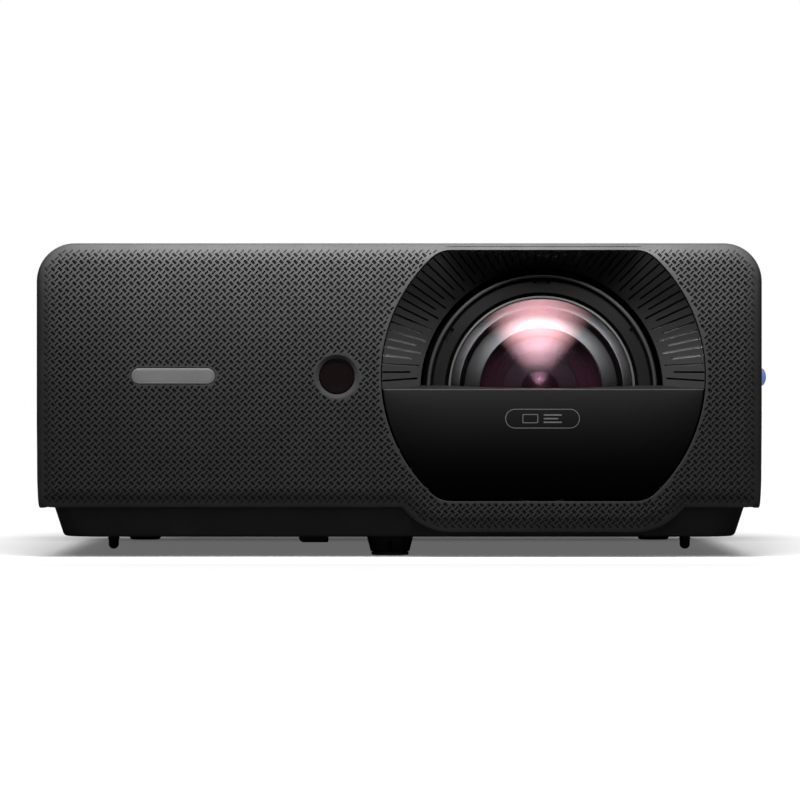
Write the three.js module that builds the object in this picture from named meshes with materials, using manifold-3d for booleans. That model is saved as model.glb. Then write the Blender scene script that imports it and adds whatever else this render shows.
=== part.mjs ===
// A short-throw home projector, as the separate pieces that it comes apart into.
// Millimetres, +Z up. The front faces -Y, and the origin is on the desk, under the middle of the overall box.
import * as THREE from "three";
import { mergeVertices } from "three/addons/utils/BufferGeometryUtils.js";
import Module from "manifold-3d";

const wasm = await Module();
wasm.setup();

// ---- Driving dimensions ----
const WIDTH = 418.2; // across the sides of the top cover
const DEPTH = 351; // front face to rear rim
const TOP_Z = 180.9; // top of the case over the desk
const SKIRT_Z = 28.3; // lower edge of the top cover
const BASE_Z = 11.4; // underside of the lower case
const WALL = 2.5; // plastic wall
const GAP = 0.3; // clearance between pieces that only meet
const CORNER_R = 22; // top corners of the case
const KNEE_Z = 79; // the sides lean in below this height
const SIDE_LEAN = 0.4; // and by this much at the skirt
const FRONT_Y = -DEPTH / 2;
const REAR_Y = DEPTH / 2;

const PANEL_INSET = 0.8; // the front panel is this much smaller than the case all round
const PANEL_DEPTH = 10; // front panel, face to back of its rim
const PANEL_CORNER_R = 8; // its lower corners
const COVER_FRONT_Y = FRONT_Y + PANEL_DEPTH + GAP;

const RECESS_X = 82.8; // centre of the lens recess's outline
const RECESS_Z = 104.5;
const RECESS_R = 93; // the outline is a circle of this radius
const RECESS_HALF = 71.8; // cut off flat this far above and below its centre
const RECESS_ROUND = 16; // with the four corners rounded
const CHIN_BORDER = 18.5; // the front panel runs this far outside the recess, which makes its chin
const LENS_Z = 96.7; // height of the lens axis, and of the shroud's front edge
const BEZEL_R = 71; // inner edge of the bezel
const BEZEL_DEPTH = 30; // depth of that edge behind the front face
const SHELF_RISE = 2.7; // the shroud's shelf climbs this much towards the lens

const IR_X = -35.9;
const IR_Z = 104;
const IR_R = 10; // clear radius of the remote-control window
const BADGE_X = -129.9;
const BADGE_Z = 104.2;
const BADGE_LENGTH = 48;
const BADGE_HEIGHT = 9;

const KEY_PROUD = 3.4; // the lit power key stands this far out of the right-hand side
const KEY_R = 5.2;
const KEY_TRAVEL = 0.8;
const KEYPAD_Y0 = FRONT_Y + 12.5; // the keypad plate on the right-hand side
const KEYPAD_Y1 = FRONT_Y + 42.5;
const KEYPAD_Z0 = 60;
const KEYPAD_Z1 = 152;

const VENT_Y0 = -55; // grille windows in both sides
const VENT_Y1 = 120;
const VENT_Z0 = 50;
const VENT_Z1 = 140;

const FOOT_X = -5.4;
const FOOT_Y = FRONT_Y + 45;
const FOOT_TRAVEL = 12; // the front foot screws out by this much
const PEG_X = 167;
const REAR_FOOT_X = 165;
const REAR_FOOT_Y = 140;

const ROUND = 36; // sides of a large circle
const SMALL_ROUND = 14; // sides of a small one

// ---- Materials ----
const finish = (color, roughness, metalness = 0) =>
  new THREE.MeshStandardMaterial({ color, roughness, metalness });
const MATERIAL = {
  caseShell: finish(0x2b2b2c, 0.62),
  panel: finish(0x262627, 0.68),
  base: finish(0x191919, 0.55),
  bezel: finish(0x1d1d1e, 0.5),
  shroud: finish(0x141415, 0.4),
  lensMetal: finish(0x222223, 0.42, 0.6),
  glass: finish(0xd9b6c4, 0.05),
  irGlass: finish(0x1c0b0d, 0.12),
  badge: finish(0x5c5c5e, 0.4, 0.7),
  rubber: finish(0x131313, 0.85),
  key: finish(0x323234, 0.5),
  litKey: finish(0x8fa2dc, 0.3),
  aluminium: finish(0x9a9ca0, 0.45, 0.9),
  steel: finish(0x8b8d90, 0.35, 1),
  board: finish(0x123a24, 0.6),
  port: finish(0x77797d, 0.35, 0.9),
  portBody: finish(0x0e0e0f, 0.6),
  phosphor: finish(0xd6c33a, 0.5),
  fan: finish(0x161617, 0.6),
};

// ---- Geometry helpers ----
// A closed three.js geometry as a manifold-3d solid.
function solid(geometry) {
  const bare = geometry.index ? geometry.toNonIndexed() : geometry.clone();
  for (const name of Object.keys(bare.attributes)) {
    if (name !== "position") bare.deleteAttribute(name);
  }
  const merged = mergeVertices(bare, 1e-4);
  const index = merged.index.array;
  const kept = [];
  for (let i = 0; i < index.length; i += 3) {
    const [a, b, c] = [index[i], index[i + 1], index[i + 2]];
    if (a !== b && b !== c && c !== a) kept.push(a, b, c);
  }
  return new wasm.Manifold(
    new wasm.Mesh({
      numProp: 3,
      vertProperties: merged.attributes.position.array,
      triVerts: new Uint32Array(kept),
    }),
  );
}

const box = (x0, x1, y0, y1, z0, z1) =>
  solid(
    new THREE.BoxGeometry(x1 - x0, y1 - y0, z1 - z0).translate((x0 + x1) / 2, (y0 + y1) / 2, (z0 + z1) / 2),
  );

// A flat shape as a plate with its thickness along Y. The shape's own axes are X and Z.
function plateY(shape, y0, y1, curveSegments = 6) {
  const geometry = new THREE.ExtrudeGeometry(shape, { depth: y1 - y0, bevelEnabled: false, curveSegments });
  return solid(geometry.rotateX(Math.PI / 2).translate(0, y1, 0));
}

// The same along Z, with the shape's axes X and Y.
function plateZ(shape, z0, z1, curveSegments = 5) {
  const geometry = new THREE.ExtrudeGeometry(shape, { depth: z1 - z0, bevelEnabled: false, curveSegments });
  return solid(geometry.translate(0, 0, z0));
}

// The same along X, with the shape's axes Y and Z.
function plateX(shape, x0, x1, curveSegments = 4) {
  const geometry = new THREE.ExtrudeGeometry(shape, { depth: x1 - x0, bevelEnabled: false, curveSegments });
  return solid(geometry.rotateX(Math.PI / 2).rotateZ(Math.PI / 2).translate(x0, 0, 0));
}

// A profile of [radius, distance along the axis] points, turned about Y. It may be given either way round.
function turned(profile, segments = ROUND) {
  let area = 0;
  profile.forEach(([r, y], i) => {
    const [r2, y2] = profile[(i + 1) % profile.length];
    area += r * y2 - r2 * y;
  });
  const points = (area > 0 ? profile : [...profile].reverse()).map(([r, y]) => new THREE.Vector2(r, y));
  return solid(new THREE.LatheGeometry([...points, points[0].clone()], segments));
}

const turnedZ = (profile, segments) => turned(profile, segments).rotate([90, 0, 0]);
const turnedX = (profile, segments) => turned(profile, segments).rotate([0, 0, -90]);
const rodProfile = (radius, from, to) => [[0, from], [radius, from], [radius, to], [0, to]];
const rodY = (radius, from, to, segments = SMALL_ROUND) => turned(rodProfile(radius, from, to), segments);
const rodZ = (radius, from, to, segments = SMALL_ROUND) => turnedZ(rodProfile(radius, from, to), segments);
const rodX = (radius, from, to, segments = SMALL_ROUND) => turnedX(rodProfile(radius, from, to), segments);

const join = (solids) => solids.reduce((sum, next) => sum.add(next));
const cut = (body, tools) => tools.reduce((left, tool) => left.subtract(tool), body);
const numbers = (count) => Array.from({ length: count }, (_, i) => i);

// Points of a spherical cap from the axis out to its rim, as a profile.
function capArc(rimRadius, vertex, rim, steps) {
  const sag = rim - vertex;
  const radius = (rimRadius ** 2 + sag ** 2) / (2 * sag);
  return numbers(steps + 1).map((i) => {
    const r = (rimRadius * i) / steps;
    return [r, vertex + radius - Math.sign(radius) * Math.sqrt(radius ** 2 - r ** 2)];
  });
}

// Rings with equal numbers of points, joined in turn and capped at both ends.
function loft(rings) {
  const count = rings[0].length;
  const positions = [];
  const triangle = (...corners) => corners.forEach((p) => positions.push(...p));
  for (let k = 0; k + 1 < rings.length; k++) {
    for (let i = 0; i < count; i++) {
      const j = (i + 1) % count;
      triangle(rings[k][i], rings[k][j], rings[k + 1][j]);
      triangle(rings[k][i], rings[k + 1][j], rings[k + 1][i]);
    }
  }
  const middle = (ring) => [0, 1, 2].map((axis) => ring.reduce((sum, p) => sum + p[axis], 0) / count);
  const [first, last] = [rings[0], rings[rings.length - 1]];
  for (let i = 0; i < count; i++) {
    const j = (i + 1) % count;
    triangle(middle(first), first[j], first[i]);
    triangle(middle(last), last[i], last[j]);
  }
  return solid(new THREE.BufferGeometry().setAttribute("position", new THREE.Float32BufferAttribute(positions, 3)));
}

// ---- Outlines ----
function roundedRect(x0, y0, x1, y1, r) {
  const shape = new THREE.Shape();
  shape.moveTo(x0 + r, y0);
  shape.lineTo(x1 - r, y0);
  shape.absarc(x1 - r, y0 + r, r, -Math.PI / 2, 0);
  shape.lineTo(x1, y1 - r);
  shape.absarc(x1 - r, y1 - r, r, 0, Math.PI / 2);
  shape.lineTo(x0 + r, y1);
  shape.absarc(x0 + r, y1 - r, r, Math.PI / 2, Math.PI);
  shape.lineTo(x0, y0 + r);
  shape.absarc(x0 + r, y0 + r, r, Math.PI, 1.5 * Math.PI);
  return shape;
}

// The case's cross-section: round top corners, and sides that lean in towards the skirt.
function caseOutline(inset, bottom, bottomRadius = 0) {
  const half = WIDTH / 2 - inset;
  const foot = half - SIDE_LEAN;
  const top = TOP_Z - inset;
  const r = CORNER_R - inset;
  const shape = new THREE.Shape();
  shape.moveTo(-foot + bottomRadius, bottom);
  shape.lineTo(foot - bottomRadius, bottom);
  if (bottomRadius) shape.quadraticCurveTo(foot, bottom, foot, bottom + bottomRadius);
  shape.lineTo(half, KNEE_Z);
  shape.lineTo(half, top - r);
  shape.absarc(half - r, top - r, r, 0, Math.PI / 2);
  shape.lineTo(-half + r, top);
  shape.absarc(-half + r, top - r, r, Math.PI / 2, Math.PI);
  shape.lineTo(-half, KNEE_Z);
  shape.lineTo(-foot, bottom + bottomRadius);
  if (bottomRadius) shape.quadraticCurveTo(-foot, bottom, -foot + bottomRadius, bottom);
  return shape;
}

// A circle cut off flat above and below, with rounded corners, about the recess's centre.
// grow moves the whole outline outwards.
function recessOutline(grow) {
  const big = RECESS_R + grow;
  const half = RECESS_HALF + grow;
  const r = RECESS_ROUND + Math.max(grow, 0);
  const cy = half - r;
  const cx = Math.sqrt((big - r) ** 2 - cy ** 2);
  const turn = Math.atan2(cy, cx);
  const shape = new THREE.Shape();
  shape.absarc(RECESS_X, RECESS_Z, big, -turn, turn);
  shape.absarc(RECESS_X + cx, RECESS_Z + cy, r, turn, Math.PI / 2);
  shape.absarc(RECESS_X - cx, RECESS_Z + cy, r, Math.PI / 2, Math.PI - turn);
  shape.absarc(RECESS_X, RECESS_Z, big, Math.PI - turn, Math.PI + turn);
  shape.absarc(RECESS_X - cx, RECESS_Z - cy, r, Math.PI + turn, 1.5 * Math.PI);
  shape.absarc(RECESS_X + cx, RECESS_Z - cy, r, -Math.PI / 2, -turn);
  return shape;
}

// Distance from the recess's centre to its outline along a direction.
function recessReach(angle, grow) {
  const big = RECESS_R + grow;
  const half = RECESS_HALF + grow;
  const r = RECESS_ROUND + Math.max(grow, 0);
  const cy = half - r;
  const cx = Math.sqrt((big - r) ** 2 - cy ** 2);
  const [ux, uz] = [Math.abs(Math.cos(angle)), Math.abs(Math.sin(angle))];
  if (Math.atan2(uz, ux) <= Math.atan2(cy, cx)) return big;
  if ((half * ux) / uz <= cx) return half / uz;
  const along = ux * cx + uz * cy;
  return along + Math.sqrt(along ** 2 - cx ** 2 - cy ** 2 + r ** 2);
}

// Distance from the recess's centre to a circle about the lens axis along a direction.
function lensReach(angle, radius) {
  const drop = LENS_Z - RECESS_Z;
  const along = Math.sin(angle) * drop;
  return along + Math.sqrt(along ** 2 - drop ** 2 + radius ** 2);
}

const recessRing = (reach, y, sides) =>
  numbers(sides).map((i) => {
    const angle = (2 * Math.PI * i) / sides;
    const r = reach(angle);
    return [RECESS_X + r * Math.cos(angle), y, RECESS_Z + r * Math.sin(angle)];
  });

// ---- Scene graph ----
const projector = new THREE.Group();
const body = new THREE.Group(); // the case's own middle plane, shifted so that the proud key keeps the box centred
body.position.x = -KEY_PROUD / 2;
projector.add(body);

function addPart(name, made, material, parent = body) {
  const source = made.getMesh();
  const positions = new Float32Array(source.numVert * 3);
  for (let i = 0; i < source.numVert; i++) {
    const from = i * source.numProp;
    positions.set(source.vertProperties.subarray(from, from + 3), i * 3);
  }
  const geometry = new THREE.BufferGeometry();
  geometry.setAttribute("position", new THREE.BufferAttribute(positions, 3));
  geometry.setIndex(new THREE.BufferAttribute(source.triVerts, 1));
  const mesh = new THREE.Mesh(geometry, material);
  mesh.name = name;
  parent.add(mesh);
  return mesh;
}

function addGroup(x, y, z) {
  const group = new THREE.Group();
  group.position.set(x, y, z);
  body.add(group);
  return group;
}

// ---- Case ----
function makeTopCover() {
  const shell = plateY(caseOutline(0, SKIRT_Z), COVER_FRONT_Y, REAR_Y);
  const hollow = plateY(caseOutline(WALL, SKIRT_Z - 1), COVER_FRONT_Y - 1, REAR_Y + 1);
  const side = WIDTH / 2;
  const vent = (x0, x1) => box(x0, x1, VENT_Y0, VENT_Y1, VENT_Z0, VENT_Z1);
  const keypad = box(side - WALL - 2, side + 1, KEYPAD_Y0, KEYPAD_Y1, KEYPAD_Z0, KEYPAD_Z1);
  addPart(
    "top_cover",
    cut(shell, [hollow, vent(-side - 1, -side + WALL + 2), vent(side - WALL - 2, side + 1), keypad]),
    MATERIAL.caseShell,
  );
}

function badgeOutline(grow) {
  const [halfX, halfZ] = [BADGE_LENGTH / 2 + grow, BADGE_HEIGHT / 2 + grow];
  return roundedRect(-halfX, -halfZ, halfX, halfZ, halfZ - 0.01);
}

// A flat outline standing at a depth behind the front face, as a ring for loft.
function standing(shape, depth, segments) {
  const points = shape.getPoints(segments);
  const distinct = points.filter((p, i) => i > 0 && p.distanceTo(points[i - 1]) > 1e-4);
  return distinct.map((p) => [p.x, FRONT_Y + depth, p.y]);
}

function makeFrontPanel() {
  const ARC_STEPS = 7;
  // The rolled-over edge, and the pocket behind it: each pair is an inset from the outline and its depth.
  const roll = [[0, PANEL_DEPTH], [0, 7.5], [1, 4.4], [3.8, 1.8], [7.5, 0.4], [11, 0]];
  const hollow = [[WALL, PANEL_DEPTH + 1], [WALL, 7.5], [5.2, 3]];
  const bottom = SKIRT_Z + GAP;
  const whole = (steps) => {
    const main = loft(steps.map(([inset, depth]) =>
      standing(caseOutline(PANEL_INSET + inset, bottom + inset, PANEL_CORNER_R), depth, ARC_STEPS)));
    const chin = loft(steps.map(([inset, depth]) => standing(recessOutline(CHIN_BORDER - inset), depth, ARC_STEPS)));
    return main.add(chin.intersect(box(-WIDTH, WIDTH, FRONT_Y - 1, FRONT_Y + PANEL_DEPTH + 2, 0, RECESS_Z)));
  };
  const opening = plateY(recessOutline(0.4), FRONT_Y - 1, FRONT_Y + PANEL_DEPTH + 1, ARC_STEPS + 2);
  const countersink = turned([[0, -1], [IR_R + 3.2, -1], [IR_R + 0.3, 1.9], [IR_R + 0.3, 12], [0, 12]], 28);
  const window = countersink.translate([IR_X, FRONT_Y, IR_Z]);
  const inlay = plateY(badgeOutline(GAP), -1, 0.9).translate([BADGE_X, FRONT_Y, BADGE_Z]);
  addPart("front_panel", cut(whole(roll), [whole(hollow), opening, window, inlay]), MATERIAL.panel);

  const glass = rodY(IR_R, 1.8, 4, 28).add(rodY(IR_R + 2, 3.3, 4.6, 28));
  addPart("ir_window", glass, MATERIAL.irGlass, addGroup(IR_X, FRONT_Y, IR_Z));
}

// A blank badge, let in flush with the front panel's face.
function makeBadge() {
  addPart("badge_plate", plateY(badgeOutline(0), 0, 0.6), MATERIAL.badge, addGroup(BADGE_X, FRONT_Y, BADGE_Z));
}

// The bezel's slanting wall from the recess's outline in to a circle about the lens, above the shroud only.
function makeBezel() {
  const SIDES = 72;
  const [lipY, lipBack] = [FRONT_Y + 1, FRONT_Y + 4];
  const [edgeY, edgeBack] = [FRONT_Y + BEZEL_DEPTH, FRONT_Y + BEZEL_DEPTH + 2.5];
  const outside = (grow) => (angle) => recessReach(angle, grow);
  const inside = (radius) => (angle) => lensReach(angle, radius);
  const outer = loft([
    recessRing(inside(BEZEL_R + 2.5), edgeBack, SIDES),
    recessRing(outside(-0.4), lipBack, SIDES),
    recessRing(outside(-0.4), lipY, SIDES),
  ]);
  const inner = loft([
    recessRing(inside(BEZEL_R), edgeBack + 1, SIDES),
    recessRing(inside(BEZEL_R), edgeY, SIDES),
    recessRing(outside(-1.2), lipY, SIDES),
    recessRing(outside(-1.2), lipY - 1, SIDES),
  ]);
  const reach = RECESS_R + 10;
  const upper = box(RECESS_X - reach, RECESS_X + reach, FRONT_Y - 1, edgeBack + 1, LENS_Z + GAP, TOP_Z);
  addPart("lens_bezel", outer.subtract(inner).intersect(upper), MATERIAL.bezel);
}

// The plate that covers the lens's lower half, and the shelf behind its top edge, cut round the glass.
function makeShroud() {
  const PLATE = 3;
  const faceY = FRONT_Y + 0.8;
  const reach = RECESS_R + 10;
  const lower = box(RECESS_X - reach, RECESS_X + reach, faceY - 1, faceY + 20, 0, LENS_Z);
  const plate = plateY(recessOutline(-0.6), faceY, faceY + PLATE, 9).intersect(lower);

  const tunnel = loft([
    recessRing((angle) => lensReach(angle, BEZEL_R - 0.6), FRONT_Y + BEZEL_DEPTH - 2.5, 72),
    recessRing((angle) => recessReach(angle, -2), faceY, 72),
  ]);
  const slope = Math.atan2(SHELF_RISE, BEZEL_DEPTH);
  const slab = box(-reach, reach, 0, BEZEL_DEPTH + 10, -2.4, 0).rotate([(slope * 180) / Math.PI, 0, 0]);
  const shelf = slab.translate([RECESS_X, faceY, LENS_Z]).intersect(tunnel);
  const clearOfGlass = turned([[0, 7], ...capArc(57, 8.5, 28, 6).slice(1), [57, 40], [0, 40]], 48);
  const notch = clearOfGlass.translate([RECESS_X, FRONT_Y, LENS_Z]);
  addPart("lens_shroud", plate.add(shelf).subtract(notch), MATERIAL.shroud);
}

function makeLowerCase() {
  const FLANGE_Z = SKIRT_Z + GAP + 0.1;
  const [wideX, narrowX] = [201, 195.4];
  const [frontTop, frontBottom] = [COVER_FRONT_Y + 0.4, COVER_FRONT_Y + 4.5];
  const [rearTop, rearBottom] = [REAR_Y - 8, REAR_Y - 13];
  const ring = (halfX, y0, y1, r, z) => roundedRect(-halfX, y0, halfX, y1, r).getPoints(4).slice(0, -1).map((p) => [p.x, p.y, z]);
  const sides = (inset, bottom) => [
    ring(narrowX - inset - 3, frontBottom + inset + 3, rearBottom - inset - 3, 21, bottom),
    ring(narrowX - inset, frontBottom + inset, rearBottom - inset, 24, bottom + 3.4),
    ring(wideX - inset, frontTop + inset, rearTop - inset, 26 - inset, FLANGE_Z + (inset ? 5 : 0)),
  ];
  const tray = loft(sides(0, BASE_Z));
  const flangeX = WIDTH / 2 - SIDE_LEAN - WALL - 0.5;
  const flange = plateZ(roundedRect(-flangeX, COVER_FRONT_Y + 0.4, flangeX, REAR_Y - 4, 4), FLANGE_Z, FLANGE_Z + WALL);
  const hollow = loft(sides(WALL, BASE_Z + WALL));

  const bossAt = (x, y, r, z0, z1) => rodZ(r, z0, z1).translate([x, y, 0]);
  const mountPoints = [-1, 1].flatMap((sx) => [-50, 70].map((y) => [sx * 110, y]));
  const bosses = [
    bossAt(FOOT_X, FOOT_Y, 9, BASE_Z + 1, 34),
    ...mountPoints.map(([x, y]) => bossAt(x, y, 8, BASE_Z - 0.8, 24)),
  ];
  const holes = [
    bossAt(FOOT_X, FOOT_Y, 4.6, 0, 50),
    ...mountPoints.map(([x, y]) => bossAt(x, y, 1.7, 0, 20)),
  ];
  const vents = numbers(9).map((i) => box(-170 + i * 9, -166 + i * 9, -30, 40, 0, 20));
  addPart("lower_case", cut(join([cut(tray.add(flange), [hollow]), ...bosses]), [...holes, ...vents]), MATERIAL.base);
}

// One grille: a frame that fills the side window, with louvres standing across it.
function makeGrille(name, side) {
  const [y0, y1, z0, z1] = [VENT_Y0 + GAP, VENT_Y1 - GAP, VENT_Z0 + GAP, VENT_Z1 - GAP];
  const [depth, frame, louvres] = [4, 4, 11];
  const outer = box(0, depth, y0, y1, z0, z1);
  const hole = box(-1, depth + 1, y0 + frame, y1 - frame, z0 + frame, z1 - frame);
  const pitch = (z1 - z0 - 2 * frame) / louvres;
  const slats = numbers(louvres - 1).map((i) => {
    const z = z0 + frame + pitch * (i + 1);
    return box(0.8, depth - 0.4, y0 + 1, y1 - 1, z - 1, z + 1);
  });
  const posts = [1 / 3, 2 / 3].map((t) => {
    const y = y0 + (y1 - y0) * t;
    return box(0.8, depth - 0.4, y - 1, y + 1, z0 + 1, z1 - 1);
  });
  const group = addGroup(side * (WIDTH / 2 - 0.2), 0, 0);
  const made = join([outer.subtract(hole), ...slats, ...posts]);
  addPart(name, side > 0 ? made.translate([-depth, 0, 0]) : made, MATERIAL.base, group);
}

// ---- Keypad on the right-hand side ----
const NAV_Y = (KEYPAD_Y0 + KEYPAD_Y1) / 2;
const NAV_Z = 134;
const NAV_STEP = 10;
const POWER_Y = FRONT_Y + 22;
const POWER_Z = 103.8;
const KEYS = [
  ["up_key", NAV_Y, NAV_Z + NAV_STEP, 2.8],
  ["down_key", NAV_Y, NAV_Z - NAV_STEP, 2.8],
  ["left_key", NAV_Y - NAV_STEP, NAV_Z, 2.8],
  ["right_key", NAV_Y + NAV_STEP, NAV_Z, 2.8],
  ["ok_key", NAV_Y, NAV_Z, 4.2],
  ["menu_key", NAV_Y, 78, 3.6],
];

function makeKeypad() {
  const side = WIDTH / 2;
  const [plateBack, plateFront] = [side - 2.2, side - 0.2];
  const outline = roundedRect(KEYPAD_Y0 + GAP, KEYPAD_Z0 + GAP, KEYPAD_Y1 - GAP, KEYPAD_Z1 - GAP, 1);
  const holes = KEYS.map(([, y, z, r]) => rodX(r + GAP, -5, 5).translate([side, y, z]));
  const powerHole = rodX(KEY_R + GAP, -5, 5, 24).translate([side, POWER_Y, POWER_Z]);
  addPart("control_panel", cut(plateX(outline, plateBack, plateFront), [...holes, powerHole]), MATERIAL.bezel);

  // Each key is a cap through the plate with a wider collar behind it, which keeps it in.
  for (const [name, y, z, r] of KEYS) {
    const cap = rodX(r, -3, 0.4).add(rodX(r + 0.9, -4, -2.5));
    addPart(name, cap, MATERIAL.key, addGroup(side, y, z));
  }
  const dome = [[0, -4.5], [KEY_R + 1, -4.5], [KEY_R + 1, -2.5], [KEY_R, -2.5], [KEY_R, 0.4]];
  const crown = numbers(5).map((i) => {
    const turn = (Math.PI / 2) * ((i + 1) / 5);
    return [KEY_R * Math.cos(turn), 0.4 + (KEY_PROUD - 0.4) * Math.sin(turn)];
  });
  addPart("power_key", turnedX([...dome, ...crown], 24), MATERIAL.litKey, addGroup(side, POWER_Y, POWER_Z));
}

// ---- Lens, about its own axis. The group's Y is the depth behind the front face. ----
function makeLens() {
  const lens = addGroup(RECESS_X, FRONT_Y, LENS_Z);
  const SPANNER_NOTCHES = 6;

  const ring = turned([
    [57.4, 30], [64.3, 30], [64.3, 32.5], [66.4, 32.5], [66.4, 29.2], [67, 28.4],
    [68.1, 28.4], [68.7, 29.2], [68.7, 58], [62.7, 58], [62.7, 34.5], [57.4, 34.5],
  ]);
  const notches = numbers(SPANNER_NOTCHES).map((i) => {
    const notch = box(-5, 5, 29, 31.5, 62.7, 65);
    return notch.rotate([0, (360 / SPANNER_NOTCHES) * i, 0]);
  });
  addPart("focus_ring", cut(ring, notches), MATERIAL.lensMetal, lens);

  addPart(
    "lens_barrel",
    turned([
      [57.5, 35], [62.2, 35], [62.2, 96], [72, 96], [72, 100], [46, 100],
      [46, 165], [42, 165], [42, 97], [57.5, 97],
    ]),
    MATERIAL.lensMetal,
    lens,
  );
  addPart("front_cell", turned([[54.4, 28.8], [55.8, 28.8], [55.8, 31], [57, 31], [57, 60], [54.4, 60]]), MATERIAL.lensMetal, lens);

  const frontOuter = capArc(54, 19.6, 30, 6);
  const frontInner = capArc(50, 25, 34, 3).reverse();
  addPart("front_element", turned([...frontOuter, [54, 34], ...frontInner]), MATERIAL.glass, lens);
  addPart(
    "inner_baffle",
    turned([[53.7, 38], [48.6, 38], [48.6, 46], [45.2, 46], [45.2, 41], [36.3, 50], [36.3, 54], [53.7, 54]]),
    MATERIAL.lensMetal,
    lens,
  );
  addPart("second_element", turned([...capArc(35.8, 38, 51, 4), [35.8, 54], [0, 54]]), MATERIAL.glass, lens);
  addPart("rear_element", turned([...capArc(41.5, 118, 126, 4), [41.5, 130], [0, 130]], 28), MATERIAL.glass, lens);

  const [halfX, bottom, top] = [76, BASE_Z + WALL + GAP - LENS_Z, 72];
  const plate = plateY(roundedRect(-halfX, bottom, halfX, top, 4), 100.3, 105.3);
  addPart("lens_mount", cut(plate, [rodY(46.4, 90, 110, ROUND)]), MATERIAL.aluminium, lens);
}

// ---- Optics and light source behind the lens ----
// A finned heat sink in a box: a base plate at one end of X and fins along X, spaced along Y.
function finned(length, depthY, height, base, fins, thickness) {
  const EDGE = 1.5; // the base runs past the fins by this much
  const plate = box(0, base, 0, depthY, 0, height);
  const pitch = (depthY - 2 * EDGE - thickness) / (fins - 1);
  const fin = (y) => box(base - 0.5, length, y, y + thickness, EDGE, height - EDGE);
  return join([plate, ...numbers(fins).map((i) => fin(EDGE + i * pitch))]);
}

function makeEngine() {
  const engine = addGroup(RECESS_X, -7, LENS_Z);
  const shell = box(-62, 66, 0, 80, -52, 44);
  const inside = box(-59, 63, 3, 77, -49, 41);
  const lightPath = rodY(36, -1, 10, 28);
  const feet = [-50, 50].map((x) => box(x - 8, x + 8, 20, 60, BASE_Z + WALL + GAP - LENS_Z, -51));
  addPart("optical_engine", cut(join([shell, ...feet]), [inside, lightPath]), MATERIAL.aluminium, engine);

  const chipSink = finned(34, 60, 60, 4, 10, 1.4).rotate([0, 0, 90]);
  addPart("dmd_heatsink", chipSink, MATERIAL.aluminium, addGroup(RECESS_X + 30, 73.4, 66));

  const laser = addGroup(-124, -20, 50);
  const bank = join([box(0, 70, 0, 80, 0, 80), box(70, 84, 15, 65, 15, 65), box(10, 60, 10, 70, -35.8, 1)]);
  addPart("laser_module", bank, MATERIAL.aluminium, laser);
  const sink = finned(48, 110, 92, 5, 16, 1.4).rotate([0, 0, 180]);
  addPart("laser_heatsink", sink, MATERIAL.aluminium, addGroup(-124.4, 72, 46));

  const wheel = addGroup(-16, 26, 95);
  addPart("wheel_motor", rodX(13, -16, -4, 24).add(box(-14, -6, -12, 12, -80.8, -10)), MATERIAL.steel, wheel);
  addPart("phosphor_wheel", join([rodX(31, 0, 1.5, 30), rodX(9, -2, 3.5, 18), rodX(3, -3.6, -1)]), MATERIAL.phosphor, wheel);
}

// ---- Cooling fans, blowing along X ----
function makeFan(frameName, impellerName, size, x, y, z) {
  const [thickness, blades] = [25, 7];
  const half = size / 2;
  const bore = half - 2;
  const fan = addGroup(x, y, z);
  const frame = box(0, thickness, -half, half, -half, half).subtract(rodX(bore, -1, thickness + 1, 32));
  const struts = numbers(3).map((i) => box(20, 24, -1.5, 1.5, 0, bore + 1).rotate([120 * i, 0, 0]));
  const hub = rodX(15, 19.5, 24, 24);
  addPart(frameName, join([frame, hub, ...struts]), MATERIAL.fan, fan);

  const blade = box(4, 17, -1.2, 1.2, 12, bore - 1.5).rotate([0, 0, 38]).translate([3.2, 6.4, 0]);
  const rotor = join([rodX(16, 2, 19, 24), ...numbers(blades).map((i) => blade.rotate([(360 / blades) * i, 0, 0]))]);
  const slice = rodX(bore - 0.8, 1.5, 19.2, 32);
  addPart(impellerName, rotor.intersect(slice), MATERIAL.fan, fan);
}

// ---- Electronics and the rear panel ----
const PORT_Z = 66;
const BOARD_Z = 57;
const PORT_BACK_Y = REAR_Y - 4.5; // outer face of the rear panel
// Each port: name, x, width and height of its metal shell, and depth.
const PORTS = [
  ["hdmi_port_1", -40, 15, 6.4, 12],
  ["hdmi_port_2", -14, 15, 6.4, 12],
  ["usb_port", 12, 13.6, 7.2, 15],
  ["lan_port", 42, 16, 13.6, 18],
  ["serial_port", 82, 31, 12.5, 14],
  ["audio_jack", 118, 9, 9, 14],
];
const INLET_X = -160;
const INLET_Z = 72;
const REAR_SCREWS = [[-190, 45], [190, 45], [-188, 160], [188, 160]];

function portHollow(name, width, height) {
  const front = PORT_BACK_Y + 1;
  if (name.startsWith("hdmi")) {
    const mouth = box(-6.9, 6.9, front - 9, front + 2, -2.1, 2.2);
    return mouth.subtract(box(-5.6, 5.6, front - 10, front - 1.5, -0.5, 0.5));
  }
  if (name === "usb_port") {
    const mouth = box(-6.1, 6.1, front - 11, front + 2, -2.6, 2.6);
    return mouth.subtract(box(-5.4, 5.4, front - 12, front - 1.5, 0.2, 1.8));
  }
  if (name === "lan_port") return box(-5.9, 5.9, front - 13, front + 2, -4.6, 3.4);
  if (name === "audio_jack") return rodY(1.8, front - 12, front + 2, 16);
  const inner = box(-width / 2 + 2, width / 2 - 2, front - 0.8, front + 2, -height / 2 + 2, height / 2 - 2);
  const pins = numbers(5).map((i) => rodY(0.7, front - 6, front, 8).translate([(i - 2) * 2.8, 0, 1.4]));
  return join([inner, ...pins]);
}

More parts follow.
